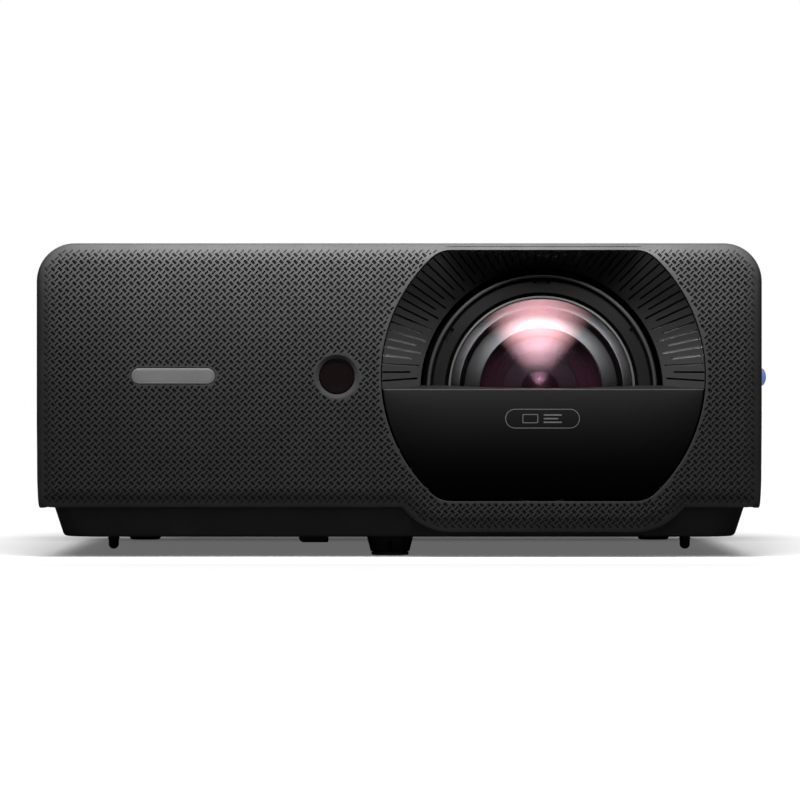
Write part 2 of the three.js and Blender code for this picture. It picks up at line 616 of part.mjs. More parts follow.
function makePorts() {
  for (const [name, x, width, height, depth] of PORTS) {
    const shell = box(-width / 2, width / 2, PORT_BACK_Y + 1 - depth, PORT_BACK_Y + 0.6, -height / 2, height / 2);
    const group = addGroup(x, 0, PORT_Z);
    const stand = box(-width / 2 + 1, width / 2 - 1, PORT_BACK_Y - depth + 1, PORT_BACK_Y - 4, BOARD_Z + 1.9 - PORT_Z, -height / 2 + 0.5);
    addPart(name, cut(shell.add(stand), [portHollow(name, width, height)]), name === "audio_jack" ? MATERIAL.portBody : MATERIAL.port, group);
  }
  const inlet = addGroup(INLET_X, 0, INLET_Z);
  const front = PORT_BACK_Y + 1;
  const housing = join([box(-14, 14, front - 24, front - 0.2, -10, 10), box(-17, 17, front - 0.4, front + 1.2, -12, 12)]);
  const socket = box(-11.8, 11.8, front - 16, front + 3, -7.9, 7.9);
  const pins = [[-7, -1.5], [7, -1.5], [0, 3]].map(([x, z]) => box(x - 1, x + 1, front - 17, front - 5.5, z - 2, z + 2));
  addPart("power_inlet", join([housing.subtract(socket), ...pins]), MATERIAL.portBody, inlet);
}

function makeRearPanel() {
  const [front, back] = [PORT_BACK_Y - WALL, PORT_BACK_Y];
  const plate = plateY(caseOutline(WALL + 0.4, SKIRT_Z + 3.2), front, back);
  const portHoles = PORTS.map(([, x, width, height]) =>
    box(x - width / 2 - GAP, x + width / 2 + GAP, front - 1, back + 1, PORT_Z - height / 2 - GAP, PORT_Z + height / 2 + GAP),
  );
  const inletHole = box(INLET_X - 14.3, INLET_X + 14.3, front - 1, back + 1, INLET_Z - 10.3, INLET_Z + 10.3);
  const screwHoles = REAR_SCREWS.map(([x, z]) => rodY(1.9, front - 1, back + 1).translate([x, 0, z]));
  const lockSlot = box(166, 173, front - 1, back + 1, 44, 47.2);
  const slots = numbers(11).map((i) => box(-126 + i * 23, -108 + i * 23, front - 1, back + 1, 112, 150));
  addPart("rear_panel", cut(plate, [...portHoles, inletHole, ...screwHoles, lockSlot, ...slots]), MATERIAL.base);

  REAR_SCREWS.forEach(([x, z], i) => {
    const head = turned([[0, back - 6], [1.5, back - 6], [1.5, back + 0.3], [3.4, back + 0.3], [3, back + 2], [0, back + 2.2]], 14);
    const slotX = box(-1.9, 1.9, back + 1, back + 4, -0.4, 0.4);
    const slotZ = box(-0.4, 0.4, back + 1, back + 4, -1.9, 1.9);
    addPart(`rear_screw_${i + 1}`, cut(head, [slotX, slotZ]), MATERIAL.steel, addGroup(x, 0, z));
  });
}

function makeBoards() {
  const edge = PORT_BACK_Y - WALL - 1;
  const main = box(-60, 140, edge - 62, edge, BOARD_Z, BOARD_Z + 1.6);
  const chips = [[-30, 120, 24, 3], [20, 116, 30, 9], [95, 128, 18, 3]].map(([x, y, size, tall]) =>
    box(x - size / 2, x + size / 2, y - size / 2, y + size / 2, BOARD_Z + 1, BOARD_Z + 1.6 + tall),
  );
  addPart("main_board", join([main, ...chips]), MATERIAL.board);

  const deck = BASE_Z + WALL + 4;
  const supply = box(-176, -70, 84, 156, deck, deck + 1.6);
  const stuffed = [
    box(-120, -84, 92, 128, deck + 1, deck + 30),
    box(-168, -150, 90, 130, deck + 1, deck + 24),
    rodZ(11, deck + 1, deck + 32).translate([-136, 102, 0]),
    rodZ(9, deck + 1, deck + 26).translate([-136, 128, 0]),
    box(-126, -76, 136, 142, deck + 1, deck + 22),
  ];
  addPart("power_supply", join([supply, ...stuffed]), MATERIAL.board);

  const speaker = turnedX([[0, 2], [7, 2], [9, 4], [21, 0.5], [25, 0.5], [25, 3], [22, 4], [13, 14], [13, 24], [0, 24]], 24);
  addPart("speaker", speaker, MATERIAL.portBody, addGroup(-WIDTH / 2 + 6, 92, 95));
}

// ---- Feet and what else stands under the case ----
function makeFeet() {
  const PAD_H = 1.8;
  const NOTCHES = 8;
  const foot = addGroup(FOOT_X, FOOT_Y, 0);
  const pad = rodZ(10.9, 0, PAD_H, 32).add(rodZ(2.4, PAD_H - 0.5, PAD_H + 4, 16));
  addPart("front_foot_pad", pad, MATERIAL.rubber, foot);
  const knobTop = BASE_Z - GAP;
  const knob = turnedZ([[0, PAD_H + GAP], [11.3, PAD_H + GAP], [11.7, PAD_H + 1], [13.4, knobTop], [4.1, knobTop], [4.1, 44], [0, 44]], 32);
  const socket = rodZ(2.8, 0, PAD_H + 4.6, 16);
  const grips = numbers(NOTCHES).map((i) => box(-0.9, 0.9, -14, -11.2, 2, 9.4).rotate([0, 0, (360 / NOTCHES) * i]));
  addPart("front_foot_screw", cut(knob, [socket, ...grips]), MATERIAL.base, foot);

  for (const [name, sign] of [["left", -1], ["right", 1]]) {
    const peg = turnedZ([[0, 3.5], [1.3, 3.8], [2.3, 4.7], [2.85, 6.2], [3, 7], [3, BASE_Z - GAP], [0, BASE_Z - GAP]], 16);
    addPart(`${name}_peg`, peg, MATERIAL.rubber, addGroup(sign * PEG_X, FOOT_Y, 0));
    const rear = turnedZ([[0, 0], [9, 0], [10, 1], [11, BASE_Z - GAP], [0, BASE_Z - GAP]], 28);
    addPart(`${name}_rear_foot`, rear, MATERIAL.rubber, addGroup(sign * REAR_FOOT_X, REAR_FOOT_Y, 0));
  }

  const tab = new THREE.Shape();
  tab.moveTo(8.5, 0);
  tab.lineTo(8.5, 3.7);
  tab.lineTo(-8.5, 3.7);
  tab.quadraticCurveTo(-8.5, 0, -5.5, 0);
  addPart("underside_tab", plateY(tab, 0, 22), MATERIAL.base, addGroup(-50.2, FRONT_Y + 40, BASE_Z - GAP - 3.7));
}

makeTopCover();
makeFrontPanel();
makeBadge();
makeBezel();
makeShroud();
makeLowerCase();
makeGrille("left_grille", -1);
makeGrille("right_grille", 1);
makeKeypad();
makeLens();
makeEngine();
makeFan("intake_fan_frame", "intake_impeller", 92, -WIDTH / 2 + 7, 17, 95);
makeFan("exhaust_fan_frame_1", "exhaust_impeller_1", 80, WIDTH / 2 - 32, -10, 95);
makeFan("exhaust_fan_frame_2", "exhaust_impeller_2", 80, WIDTH / 2 - 32, 74, 95);
makePorts();
makeRearPanel();
makeBoards();
makeFeet();

export default projector;
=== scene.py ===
"""The visible model of a short-throw home projector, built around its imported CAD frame. Shapes are in
millimetres, with X measured from the case's middle plane, and are turned into the frame's metres as meshes
are made. Materials and the studio are in metres."""
import math

import bmesh
import bpy
import numpy as np
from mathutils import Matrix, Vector
from mathutils.geometry import delaunay_2d_cdt


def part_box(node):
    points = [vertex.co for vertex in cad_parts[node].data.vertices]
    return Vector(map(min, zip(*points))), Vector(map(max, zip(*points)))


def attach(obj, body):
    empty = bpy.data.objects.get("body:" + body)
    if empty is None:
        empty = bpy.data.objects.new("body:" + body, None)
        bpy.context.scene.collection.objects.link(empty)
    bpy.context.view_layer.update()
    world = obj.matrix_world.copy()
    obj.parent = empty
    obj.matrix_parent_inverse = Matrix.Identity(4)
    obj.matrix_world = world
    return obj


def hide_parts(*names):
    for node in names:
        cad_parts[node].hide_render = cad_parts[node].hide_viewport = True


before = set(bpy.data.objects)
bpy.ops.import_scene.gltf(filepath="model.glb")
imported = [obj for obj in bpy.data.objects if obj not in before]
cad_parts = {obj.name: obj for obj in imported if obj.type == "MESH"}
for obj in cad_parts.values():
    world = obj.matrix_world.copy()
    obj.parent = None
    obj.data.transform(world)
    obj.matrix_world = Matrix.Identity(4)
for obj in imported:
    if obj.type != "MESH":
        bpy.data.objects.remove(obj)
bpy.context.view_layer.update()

MM = 0.001
case_low, case_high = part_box("top_cover")
MIDDLE_X = (case_low.x + case_high.x) / 2
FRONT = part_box("front_panel")[0].y / MM
REAR = case_high.y / MM
TOP = case_high.z / MM
SKIRT = case_low.z / MM
HALF = (case_high.x - case_low.x) / 2 / MM
BASE = 11.4  # height of the tray's underside

# ---- Shape of the front, as in the CAD part ----
WALL = 2.5
CORNER_R = 22
KNEE_Z = 79
SIDE_LEAN = 0.4
PANEL_INSET = 0.8
PANEL_DEPTH = 10
PANEL_ROLL = 7.5
ROLL_WIDTH = 11
LENS_X = 82.8
LENS_Z = 96.7
RECESS_Z = 104.5
RECESS_R = 93
RECESS_HALF = 71.8
RECESS_ROUND = 16
CHIN = 18.5
BEZEL_R = 70.6
BEZEL_DEPTH = 30
IR_X, IR_Z, IR_R = -35.9, 104, 10
BADGE_X, BADGE_Z, BADGE_HALF, BADGE_R = -129.9, 104.2, 24, 4.5
POWER_Y, POWER_Z, POWER_R, POWER_PROUD = FRONT + 22, 103.8, 5.2, 3.4
FOOT_X, FOOT_Y = -5.4, FRONT + 45


# ---- Materials ----
class Nodes:
    """The node tree of a material or a world, with short calls for the nodes that are used most."""

    def __init__(self, owner):
        owner.use_nodes = True
        self.owner, self.tree = owner, owner.node_tree
        self.shader = self.tree.nodes.get("Principled BSDF")
        self.where = self.node("TexCoord").outputs["Object"]

    def give(self, socket, value):
        """Links a socket to another node's output, or sets its own value."""
        if isinstance(value, bpy.types.NodeSocket):
            self.tree.links.new(value, socket)
        else:
            socket.default_value = value

    def node(self, kind, inputs=None, **settings):
        made = self.tree.nodes.new("ShaderNode" + kind)
        for key, value in settings.items():
            setattr(made, key, value)
        for key, value in (inputs or {}).items():
            self.give(made.inputs[key], value)
        return made

    def math(self, a, b, operation):
        return self.node("Math", {0: a, 1: b}, operation=operation).outputs[0]

    def noise(self, scale, detail=3.0, roughness=0.5, where=None):
        inputs = {"Vector": where or self.where, "Scale": scale, "Detail": detail, "Roughness": roughness}
        return self.node("TexNoise", inputs).outputs["Fac"]

    def cells(self, scale):
        return self.node("TexVoronoi", {"Vector": self.where, "Scale": scale}).outputs["Distance"]

    def mapped(self, value, low, high, to_low, to_high, **settings):
        inputs = {"Value": value, "From Min": low, "From Max": high, "To Min": to_low, "To Max": to_high}
        return self.node("MapRange", inputs, **settings).outputs["Result"]

    def rough(self, noise, low, high):
        """A roughness that follows a noise."""
        return self.mapped(noise, 0.3, 0.7, low, high)

    def mixed(self, fac, a, b):
        return self.node("Mix", {0: fac, 6: a, 7: b}, data_type="RGBA").outputs[2]

    def axis(self, name):
        return self.node("SeparateXYZ", {"Vector": self.where}).outputs[name]

    def stretched(self, x, y, z):
        return self.node("Mapping", {"Vector": self.where, "Scale": (x, y, z)}).outputs["Vector"]

    def bump(self, height, strength, distance, under=None):
        inputs = {"Height": height, "Strength": strength, "Distance": distance}
        if under:
            inputs["Normal"] = under
        return self.node("Bump", inputs).outputs["Normal"]

    def set(self, **values):
        for key, value in values.items():
            self.give(self.shader.inputs[key.replace("_", " ")], value)
        return self.owner


def material(name):
    return Nodes(bpy.data.materials.new(name))


def grey(level, warm=0.0):
    return (level * (1 + warm), level, level * (1 - warm), 1)


def moulded(name, dark, light, rough, grain=2600, depth=0.00005, specular=0.4):
    """Moulded plastic: spark-eroded grain, faint blotches in its tone, and a speckled roughness."""
    n = material(name)
    blotches, speckle = n.noise(45, 4, 0.6), n.noise(grain * 0.6, 2)
    tone = n.mapped(n.math(blotches, speckle, "ADD"), 0.7, 1.3, 0, 1)
    pebble = n.bump(n.cells(grain), 0.5, depth)
    normal = n.bump(n.noise(grain * 0.22, 3), 0.25, depth * 2, pebble)
    return n.set(Base_Color=n.mixed(tone, dark, light), Roughness=n.rough(speckle, *rough),
                 Specular_IOR_Level=specular, Normal=normal)


def metal(name, dark, light, rough, brush=(1, 1, 1), metallic=1.0, specular=0.5):
    """Metal with fine brushing or turning marks along one axis and slow patches of tarnish."""
    n = material(name)
    lines = n.noise(900, 4, 0.7, n.stretched(*brush))
    colour = n.mixed(n.noise(60, 3), dark, light)
    return n.set(Base_Color=colour, Metallic=metallic, Specular_IOR_Level=specular,
                 Roughness=n.rough(lines, *rough), Normal=n.bump(lines, 0.12, 0.00004))


def coated_glass(name, tint, reflect, ior=2.2, rough=0.015):
    """Lens glass with an anti-reflection coating: clear, with coloured reflections and a trace of dust. Lamps
    shine through it."""
    n = material(name)
    dust = n.noise(1400, 5, 0.7)
    paler = (*(min(c * 1.04, 1) for c in tint[:3]), 1)
    n.set(Base_Color=n.mixed(n.noise(25, 2), tint, paler), Specular_Tint=reflect, Transmission_Weight=1.0,
          IOR=ior, Roughness=n.mapped(dust, 0.45, 0.8, rough, rough + 0.045))
    clear = n.node("BsdfTransparent", {"Color": tint})
    shadow = n.node("LightPath").outputs["Is Shadow Ray"]
    both = n.node("MixShader", {0: shadow, 1: n.shader.outputs[0], 2: clear.outputs[0]})
    n.give(n.tree.nodes["Material Output"].inputs["Surface"], both.outputs[0])
    return n.owner


def lens_satin_painted_light(name, low, high, power, inward=False):
    """Satin with painted light: painted paler towards the top of the lens, as if lit from above, and, with
    inward set, paler towards its axis.
    """
    n = material(name)
    tone = n.math(n.mapped(n.axis("Z"), LENS_Z * MM, (LENS_Z + 42) * MM, 0, 1), power, "POWER")
    if inward:
        axis = (MIDDLE_X + LENS_X * MM, 0, LENS_Z * MM)
        radius = n.node("VectorMath", {0: n.stretched(1, 0, 1), 1: axis}, operation="DISTANCE")
        tone = n.math(tone, n.mapped(radius.outputs["Value"], 0.0448, 0.0378, 0.38, 1), "MULTIPLY")
    lines = n.noise(900, 4, 0.7, n.stretched(1, 14, 1))
    return n.set(Base_Color=n.mixed(tone, grey(low), grey(high)), Roughness=n.rough(lines, 0.45, 0.6),
                 Specular_IOR_Level=0.2, Normal=n.bump(lines, 0.1, 0.00003))


def graded_painted_light(name, low, high, bottom, top, gloss, return_at=None):
    """Plastic with painted light: its low grey fades to its high one up its height, so that one part looks lit
    and another shaded. The high grey may return further down.
    """
    n = material(name)
    speckle = n.noise(1700, 3)
    height = n.mapped(n.axis("Z"), bottom, top, 0, 1)
    if return_at:
        height = n.math(height, n.mapped(n.axis("Z"), *return_at, 0, 1), "MAXIMUM")
    tones = [n.mixed(speckle, grey(level * 0.85), grey(level * 1.15)) for level in (low, high)]
    return n.set(Base_Color=n.mixed(height, *tones), Roughness=n.rough(speckle, 0.4, 0.5),
                 Specular_IOR_Level=gloss, Normal=n.bump(n.cells(3600), 0.4, 0.00004))


def make_materials():
    spun = (1, 14, 1)  # turning marks are fine along Y, so they run round the lens
    made = {
        "case": moulded("case_plastic", grey(0.0105), grey(0.0145), (0.55, 0.66), specular=0.1),
        "panel": moulded("woven_panel_plastic", grey(0.0106), grey(0.0146), (0.5, 0.62), specular=0.06),
        # Painted shade for the faint, shallow dashes of the weave.
        "shallow": moulded("woven_panel_shallow_pits_painted_shade", grey(0.0036), grey(0.0058), (0.6, 0.75), specular=0.04),
        "base": moulded("base_plastic", grey(0.0038), grey(0.006), (0.6, 0.7), specular=0.08),
        # Painted shade: a near-black that stands in for the shade in grooves, gaps and hidden faces.
        "hole": moulded("painted_shade_black", grey(0.002), grey(0.004), (0.5, 0.6), specular=0.15),
        "key": moulded("key_plastic", grey(0.022), grey(0.03), (0.36, 0.46), grain=3600),
        "black": moulded("socket_plastic", grey(0.006), grey(0.01), (0.35, 0.5), grain=3200),
        "fan": moulded("fan_plastic", grey(0.008), grey(0.013), (0.4, 0.55)),
        "rubber": moulded("foot_rubber", grey(0.008), grey(0.013), (0.75, 0.9), 1500, 0.00012, 0.3),
        "ink": moulded("printed_ink", grey(0.038), grey(0.05), (0.45, 0.55), specular=0.3),
        "icon": moulded("key_legend_ink", grey(0.35), grey(0.45), (0.5, 0.6), specular=0.3),
        # A painted highlight for the shroud's top front edge.
        "edge": moulded("shroud_edge_painted_highlight", grey(0.018), grey(0.024), (0.4, 0.5), specular=0.15),
        "blue": moulded("usb_tongue", (0.01, 0.05, 0.3, 1), (0.015, 0.07, 0.4, 1), (0.3, 0.4)),
        "throat": moulded("throat_paint", (0.012, 0.005, 0.008, 1), (0.02, 0.009, 0.013, 1), (0.3, 0.45),
                          specular=0.3),
        "anodised": metal("black_anodised", grey(0.0022), grey(0.0032), (0.36, 0.5), spun, 0.1, 0.2),
        "bead": metal("polished_bead", grey(0.011), grey(0.016), (0.3, 0.42), spun, 0.2),
        "bright": metal("bright_anodised", grey(0.028), grey(0.038), (0.26, 0.36), (1, 20, 1), 0.3),
        "cast": metal("cast_aluminium", grey(0.42), grey(0.55), (0.42, 0.6)),
        "steel": metal("zinc_steel", grey(0.42, 0.02), grey(0.58, 0.02), (0.24, 0.38)),
        "nickel": metal("nickel_plate", grey(0.4, 0.03), grey(0.52, 0.03), (0.18, 0.3), (12, 1, 1)),
        "gold": metal("contact_gold", (0.7, 0.45, 0.12, 1), (0.85, 0.58, 0.2, 1), (0.2, 0.3)),
        "badge": metal("badge_satin", grey(0.12), grey(0.17), (0.3, 0.42), (1, 1, 30), 0.75),
        "front_glass": coated_glass("front_glass", (0.96, 0.92, 0.94, 1), (1.0, 0.5, 0.55, 1)),
        "inner_glass": coated_glass("inner_glass", (0.85, 0.7, 0.78, 1), (0.9, 0.55, 0.68, 1), 1.8, 0.11),
        "pupil_glass": coated_glass("pupil_glass", (0.5, 0.3, 0.42, 1), (0.9, 0.5, 0.62, 1), 3.3),
        # The lens's ledge and cone carry painted light: paler towards the top and, on the cone, towards the
        # axis.
        "ledge": lens_satin_painted_light("lens_ledge_painted_light", 0.004, 0.16, 1.1),
        "cone": lens_satin_painted_light("lens_cone_painted_light", 0.006, 0.105, 1.3, inward=True),
        # Painted light: the funnel round the lens is painted paler where it opens sideways and darker at the
        # top, its slots carry a painted highlight in a low band and painted shade elsewhere, and the weave's
        # pits are painted shade, blacker at the top.
        "bezel": graded_painted_light("bezel_painted_light", 0.0118, 0.0027, 0.115, 0.15, 0.2),
        "slot": graded_painted_light("bezel_slot_painted_light", 0.22, 0.0006, 0.123, 0.136, 0.2, return_at=(0.115, 0.109)),
        "pit": graded_painted_light("woven_panel_pits_painted_shade", 0.0082, 0.0025, 0.07, 0.165, 0.04),
    }

    n = material("shroud_painted_shade")  # satin black with painted shade that deepens towards the bottom of the cover
    fade = n.math(n.mapped(n.axis("Z"), 0.034, 0.098, 0, 1), 1.6, "POWER")
    black = n.mixed(fade, grey(0.0001), grey(0.0047))
    made["shroud"] = n.set(Base_Color=black, Roughness=n.rough(n.noise(1800, 2), 0.36, 0.42),
                           Specular_IOR_Level=0.03, Normal=n.bump(n.cells(4200), 0.25, 0.00003))

    n = material("infrared_window")
    glow = n.mixed(n.noise(90, 3), (0.0017, 0.0011, 0.0012, 1), (0.0025, 0.0015, 0.0017, 1))
    made["infrared"] = n.set(Base_Color=glow, Roughness=n.rough(n.noise(700), 0.1, 0.2),
                             Specular_IOR_Level=0.08)

    n = material("lit_key_plastic")
    milk = n.mixed(n.noise(260, 3), (0.06, 0.075, 0.19, 1), (0.085, 0.105, 0.24, 1))
    made["lit"] = n.set(Base_Color=milk, Roughness=n.rough(n.noise(900), 0.22, 0.32), Subsurface_Weight=0.3,
                        Subsurface_Scale=0.002, Emission_Color=(0.3, 0.4, 0.95, 1), Emission_Strength=0.22)

    n = material("phosphor_disc")
    yellow = n.mixed(n.noise(700), (0.6, 0.48, 0.05, 1), (0.75, 0.62, 0.1, 1))
    made["phosphor"] = n.set(Base_Color=yellow, Roughness=n.rough(n.noise(1500), 0.35, 0.55), Metallic=0.2)

    n = material("circuit_board")
    traces = n.node("TexBrick", {"Vector": n.where, "Scale": 160.0, "Color1": (0.01, 0.07, 0.03, 1),
                                 "Color2": (0.012, 0.1, 0.04, 1), "Mortar": (0.03, 0.2, 0.09, 1)})
    made["board"] = n.set(Base_Color=traces.outputs["Color"], Roughness=n.rough(n.noise(400), 0.35, 0.5))
    return made


MATERIALS = make_materials()


# ---- Mesh building ----
class Builder:
    """Collects vertices in millimetres and faces, then makes one smooth-shaded piece that rides on a body."""

    def __init__(self, *materials):
        self.materials = materials
        self.verts, self.faces, self.slots = [], [], []

    def add(self, verts, faces, slot=0):
        base = len(self.verts)
        self.verts.extend(tuple(map(float, v)) for v in verts)
        self.faces.extend(tuple(base + int(i) for i in f) for f in faces)
        self.slots.extend([slot] * len(faces))

    def face(self, points, slot=0):
        self.add(points, [tuple(range(len(points)))], slot)

    def bridge(self, rings, slot=0, looped=False, ends=False, around=True):
        """Quads between successive rings of equal length. looped joins the last ring to the first, and around
        joins each ring's last point to its first."""
        count = len(rings[0])
        faces = []
        for k in range(len(rings) if looped else len(rings) - 1):
            a, b = k * count, ((k + 1) % len(rings)) * count
            for i in range(count if around else count - 1):
                j = (i + 1) % count
                faces.append((a + i, a + j, b + j, b + i))
        if ends:
            last = (len(rings) - 1) * count
            faces += [tuple(reversed(range(count))), tuple(range(last, last + count))]
        self.add([v for ring in rings for v in ring], faces, slot)

    def make(self, name, body="housing", replaces=None, slot=None, angle=32, merge=0.0002, closed=True):
        """Makes the piece. Edges over angle are sharp, and vertices within merge of each other are joined."""
        mesh = bpy.data.meshes.new(name)
        verts = [((x * MM) + MIDDLE_X, y * MM, z * MM) for x, y, z in self.verts]
        mesh.from_pydata(verts, [], self.faces)
        for key in self.materials:
            mesh.materials.append(MATERIALS[key])
        mesh.polygons.foreach_set("material_index", self.slots)
        work = bmesh.new()
        work.from_mesh(mesh)
        bmesh.ops.remove_doubles(work, verts=work.verts, dist=merge * MM)
        bmesh.ops.dissolve_degenerate(work, edges=work.edges, dist=merge * MM * 0.5)
        if closed:
            bmesh.ops.recalc_face_normals(work, faces=work.faces)
        work.to_mesh(mesh)
        work.free()
        mesh.shade_smooth()
        mesh.set_sharp_from_angle(angle=math.radians(angle))
        piece = bpy.data.objects.new(name, mesh)
        bpy.context.scene.collection.objects.link(piece)
        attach(piece, body)
        if replaces:
            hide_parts(replaces)
        return piece


def arc(cx, cy, r, start, end, steps):
    return [(cx + r * math.cos(t), cy + r * math.sin(t)) for t in np.linspace(start, end, steps + 1)]


def circle(cx, cy, r, steps):
    return arc(cx, cy, r, 0, 2 * math.pi, steps)[:-1]


def rounded_rect(x0, y0, x1, y1, r, steps=6):
    quarter = math.pi / 2
    corners = [(x1 - r, y0 + r, -quarter), (x1 - r, y1 - r, 0), (x0 + r, y1 - r, quarter),
               (x0 + r, y0 + r, 2 * quarter)]
    return [p for cx, cy, start in corners for p in arc(cx, cy, r, start, start + quarter, steps)]


def centred(cx, cy, half_width, half_height, r, steps):
    """A rounded rectangle about its middle."""
    return rounded_rect(cx - half_width, cy - half_height, cx + half_width, cy + half_height, r, steps)


def curve_through(p0, p1, p2, steps):
    """A quadratic curve from p0 to p2 that leaves towards p1."""
    p0, p1, p2 = np.array(p0), np.array(p1), np.array(p2)
    ts = np.linspace(0, 1, steps + 1)[:, None]
    return [tuple(p) for p in (1 - ts) ** 2 * p0 + 2 * ts * (1 - ts) * p1 + ts ** 2 * p2]


def spread(a, b, steps):
    """Points from a towards b, without b."""
    return [(a[0] + (b[0] - a[0]) * i / steps, a[1] + (b[1] - a[1]) * i / steps) for i in range(steps)]


def offset(loop, by):
    """A counter-clockwise loop moved inwards by a distance, keeping its number of points."""
    points = np.array(loop, float)
    ahead = np.roll(points, -1, 0) - points
    ahead /= np.maximum(np.linalg.norm(ahead, axis=1, keepdims=True), 1e-9)
    normal = np.stack([-ahead[:, 1], ahead[:, 0]], 1)
    both = normal + np.roll(normal, 1, 0)
    both /= np.maximum((both ** 2).sum(1, keepdims=True), 0.5) / 2
    return [tuple(p) for p in points + both * by]


def inside(points, loop):
    """Which points are inside a loop, by the even-odd rule."""
    points, loop = np.asarray(points, float), np.asarray(loop, float)
    result = np.zeros(len(points), bool)
    for (x0, y0), (x1, y1) in zip(loop, np.roll(loop, -1, 0)):
        if y0 != y1:
            crosses = (points[:, 1] < y0) != (points[:, 1] < y1)
            result ^= crosses & (points[:, 0] < x0 + (points[:, 1] - y0) * (x1 - x0) / (y1 - y0))
    return result


def distance(points, loop):
    """Each point's distance to a closed loop's line."""
    points, loop = np.asarray(points, float), np.asarray(loop, float)
    best = np.full(len(points), 1e9)
    for a, b in zip(loop, np.roll(loop, -1, 0)):
        along = b - a
        length = max(float(along @ along), 1e-12)
        t = np.clip((points - a) @ along / length, 0, 1)
        best = np.minimum(best, np.linalg.norm(points - a - t[:, None] * along, axis=1))
    return best


def closed_edges(loops):
    """The points of several loops, and the edges that close each of them."""
    points, edges = [], []
    for loop in loops:
        edges += [(len(points) + k, len(points) + (k + 1) % len(loop)) for k in range(len(loop))]
        points += [Vector(p) for p in loop]
    return points, edges


def fill(outer, holes, extra=()):
    """Triangles that fill a loop outside its holes. Returns 2D points and triangles."""
    points, edges = closed_edges([outer, *holes])
    points += [Vector(p) for p in extra]
    out, _, faces, *_ = delaunay_2d_cdt(points, edges, [], 1, 1e-5)
    out = [tuple(p) for p in out]
    centres = np.array([np.mean([out[i] for i in f], 0) for f in faces])
    keep = inside(centres, outer)
    for hole in holes:
        keep &= ~inside(centres, hole)
    return out, [f for f, kept in zip(faces, keep) if kept]


def on_y(u, v, d):
    return u, d, v


def on_x(u, v, d):
    return d, u, v


def behind(loop, depth=0.0, plane=FRONT):
    """Points of X and Z set back from a plane, by one depth for all of them or by one for each."""
    return [(x, plane + d, z) for (x, z), d in zip(loop, np.broadcast_to(depth, len(loop)))]


def plate(builder, outer, holes, front, back, bevel=0.4, place=on_y):
    """A flat plate with rounded edges and holes, from its front to its back along one axis."""
    down = bevel if back > front else -bevel
    shares = ((1, 0), (0.3, 0.3), (0, 1))
    levels = [(share, front + down * low) for share, low in shares]
    levels += [(share, back - down * low) for share, low in reversed(shares)]
    for loop, step in [(outer, bevel)] + [(hole, -bevel) for hole in holes]:
        builder.bridge([[place(u, v, d) for u, v in offset(loop, step * share)] for share, d in levels])
    points, faces = fill(offset(outer, bevel), [offset(hole, -bevel) for hole in holes])
    for d in (front, back):
        builder.add([place(u, v, d) for u, v in points], faces)


def softened(profile, radius):
    """A profile with its corners rounded off, apart from those on the axis."""
    out = []
    for i, p in enumerate(profile):
        p = np.array(p, float)
        to_before, to_after = profile[i - 1] - p, profile[(i + 1) % len(profile)] - p
        lb, la = np.linalg.norm(to_before), np.linalg.norm(to_after)
        sharp = lb > 1e-6 and la > 1e-6 and (to_before / lb) @ (to_after / la) > -0.97
        if sharp and p[0] >= 1e-6:
            r = min(radius, lb * 0.45, la * 0.45)
            out += curve_through(p + to_before / lb * r, p, p + to_after / la * r, 2)
        else:
            out.append(tuple(p))
    return out


def lathe(builder, profile, centre, axis="Y", segments=128, slot=0, soft=0.3, tick=None):
    """A closed [radius, height] profile turned about an axis. tick may move a point at an angle."""
    if soft:
        profile = softened(profile, soft)
    cx, cy, cz = centre
    rings = []
    for s in range(segments):
        turn = 2 * math.pi * s / segments
        ring = []
        for r, h in profile:
            if tick:
                r, h = tick(r, h, turn)
            u, v = r * math.cos(turn), r * math.sin(turn)
            at = {"Y": (cx + u, cy + h, cz + v), "Z": (cx + u, cy + v, cz + h), "X": (cx + h, cy + u, cz + v)}
            ring.append(at[axis])
        rings.append(ring)
    builder.bridge(rings, slot, looped=True)


def turned(name, material, profile, centre, body="housing", replaces=None, slot=None, angle=32, **how):
    """A piece that is one turned profile in one material."""
    b = Builder(material)
    lathe(b, profile, centre, **how)
    return b.make(name, body, replaces, slot, angle)


def cap_radius(rim, vertex, depth):
    """The radius of a sphere through a vertex and a rim, given their depths. A hollow one's is below 0."""
    sag = depth - vertex
    return (rim ** 2 + sag ** 2) / (2 * sag)


def cap(rim, vertex, depth, steps):
    """A spherical cap's profile from its axis out to its rim, given the two depths."""
    radius = cap_radius(rim, vertex, depth)
    radii = [rim * i / steps for i in range(steps + 1)]
    return [(r, vertex + radius - math.copysign(math.sqrt(radius ** 2 - r ** 2), radius)) for r in radii]


# ---- Outlines of the front ----
def case_outline(inset, bottom, bottom_r=0.0):
    """The case's section as a counter-clockwise loop, open along its bottom edge."""
    half, top, r = HALF - inset, TOP - inset, CORNER_R - inset
    foot = half - SIDE_LEAN
    right = [(foot - bottom_r, bottom)]
    if bottom_r:
        right = curve_through((foot - bottom_r, bottom), (foot, bottom), (foot, bottom + bottom_r), 6)
    right += spread((half, KNEE_Z), (half, top - r), 8)
    right += arc(half - r, top - r, r, 0, math.pi / 2, 12)
    left = [(-x, z) for x, z in reversed(right)]
    return right + spread(right[-1], left[0], 16)[1:] + left


def reach(angle, grow):
    """Distance from the recess's centre to its outline along a direction."""
    big, half, r = RECESS_R + grow, RECESS_HALF + grow, RECESS_ROUND + max(grow, 0)
    cy = half - r
    cx = math.sqrt((big - r) ** 2 - cy ** 2)
    ux, uz = abs(math.cos(angle)), abs(math.sin(angle))
    if math.atan2(uz, ux) <= math.atan2(cy, cx):
        return big
    if half * ux / uz <= cx:
        return half / uz
    along = ux * cx + uz * cy
    return along + math.sqrt(along ** 2 - cx ** 2 - cy ** 2 + r ** 2)


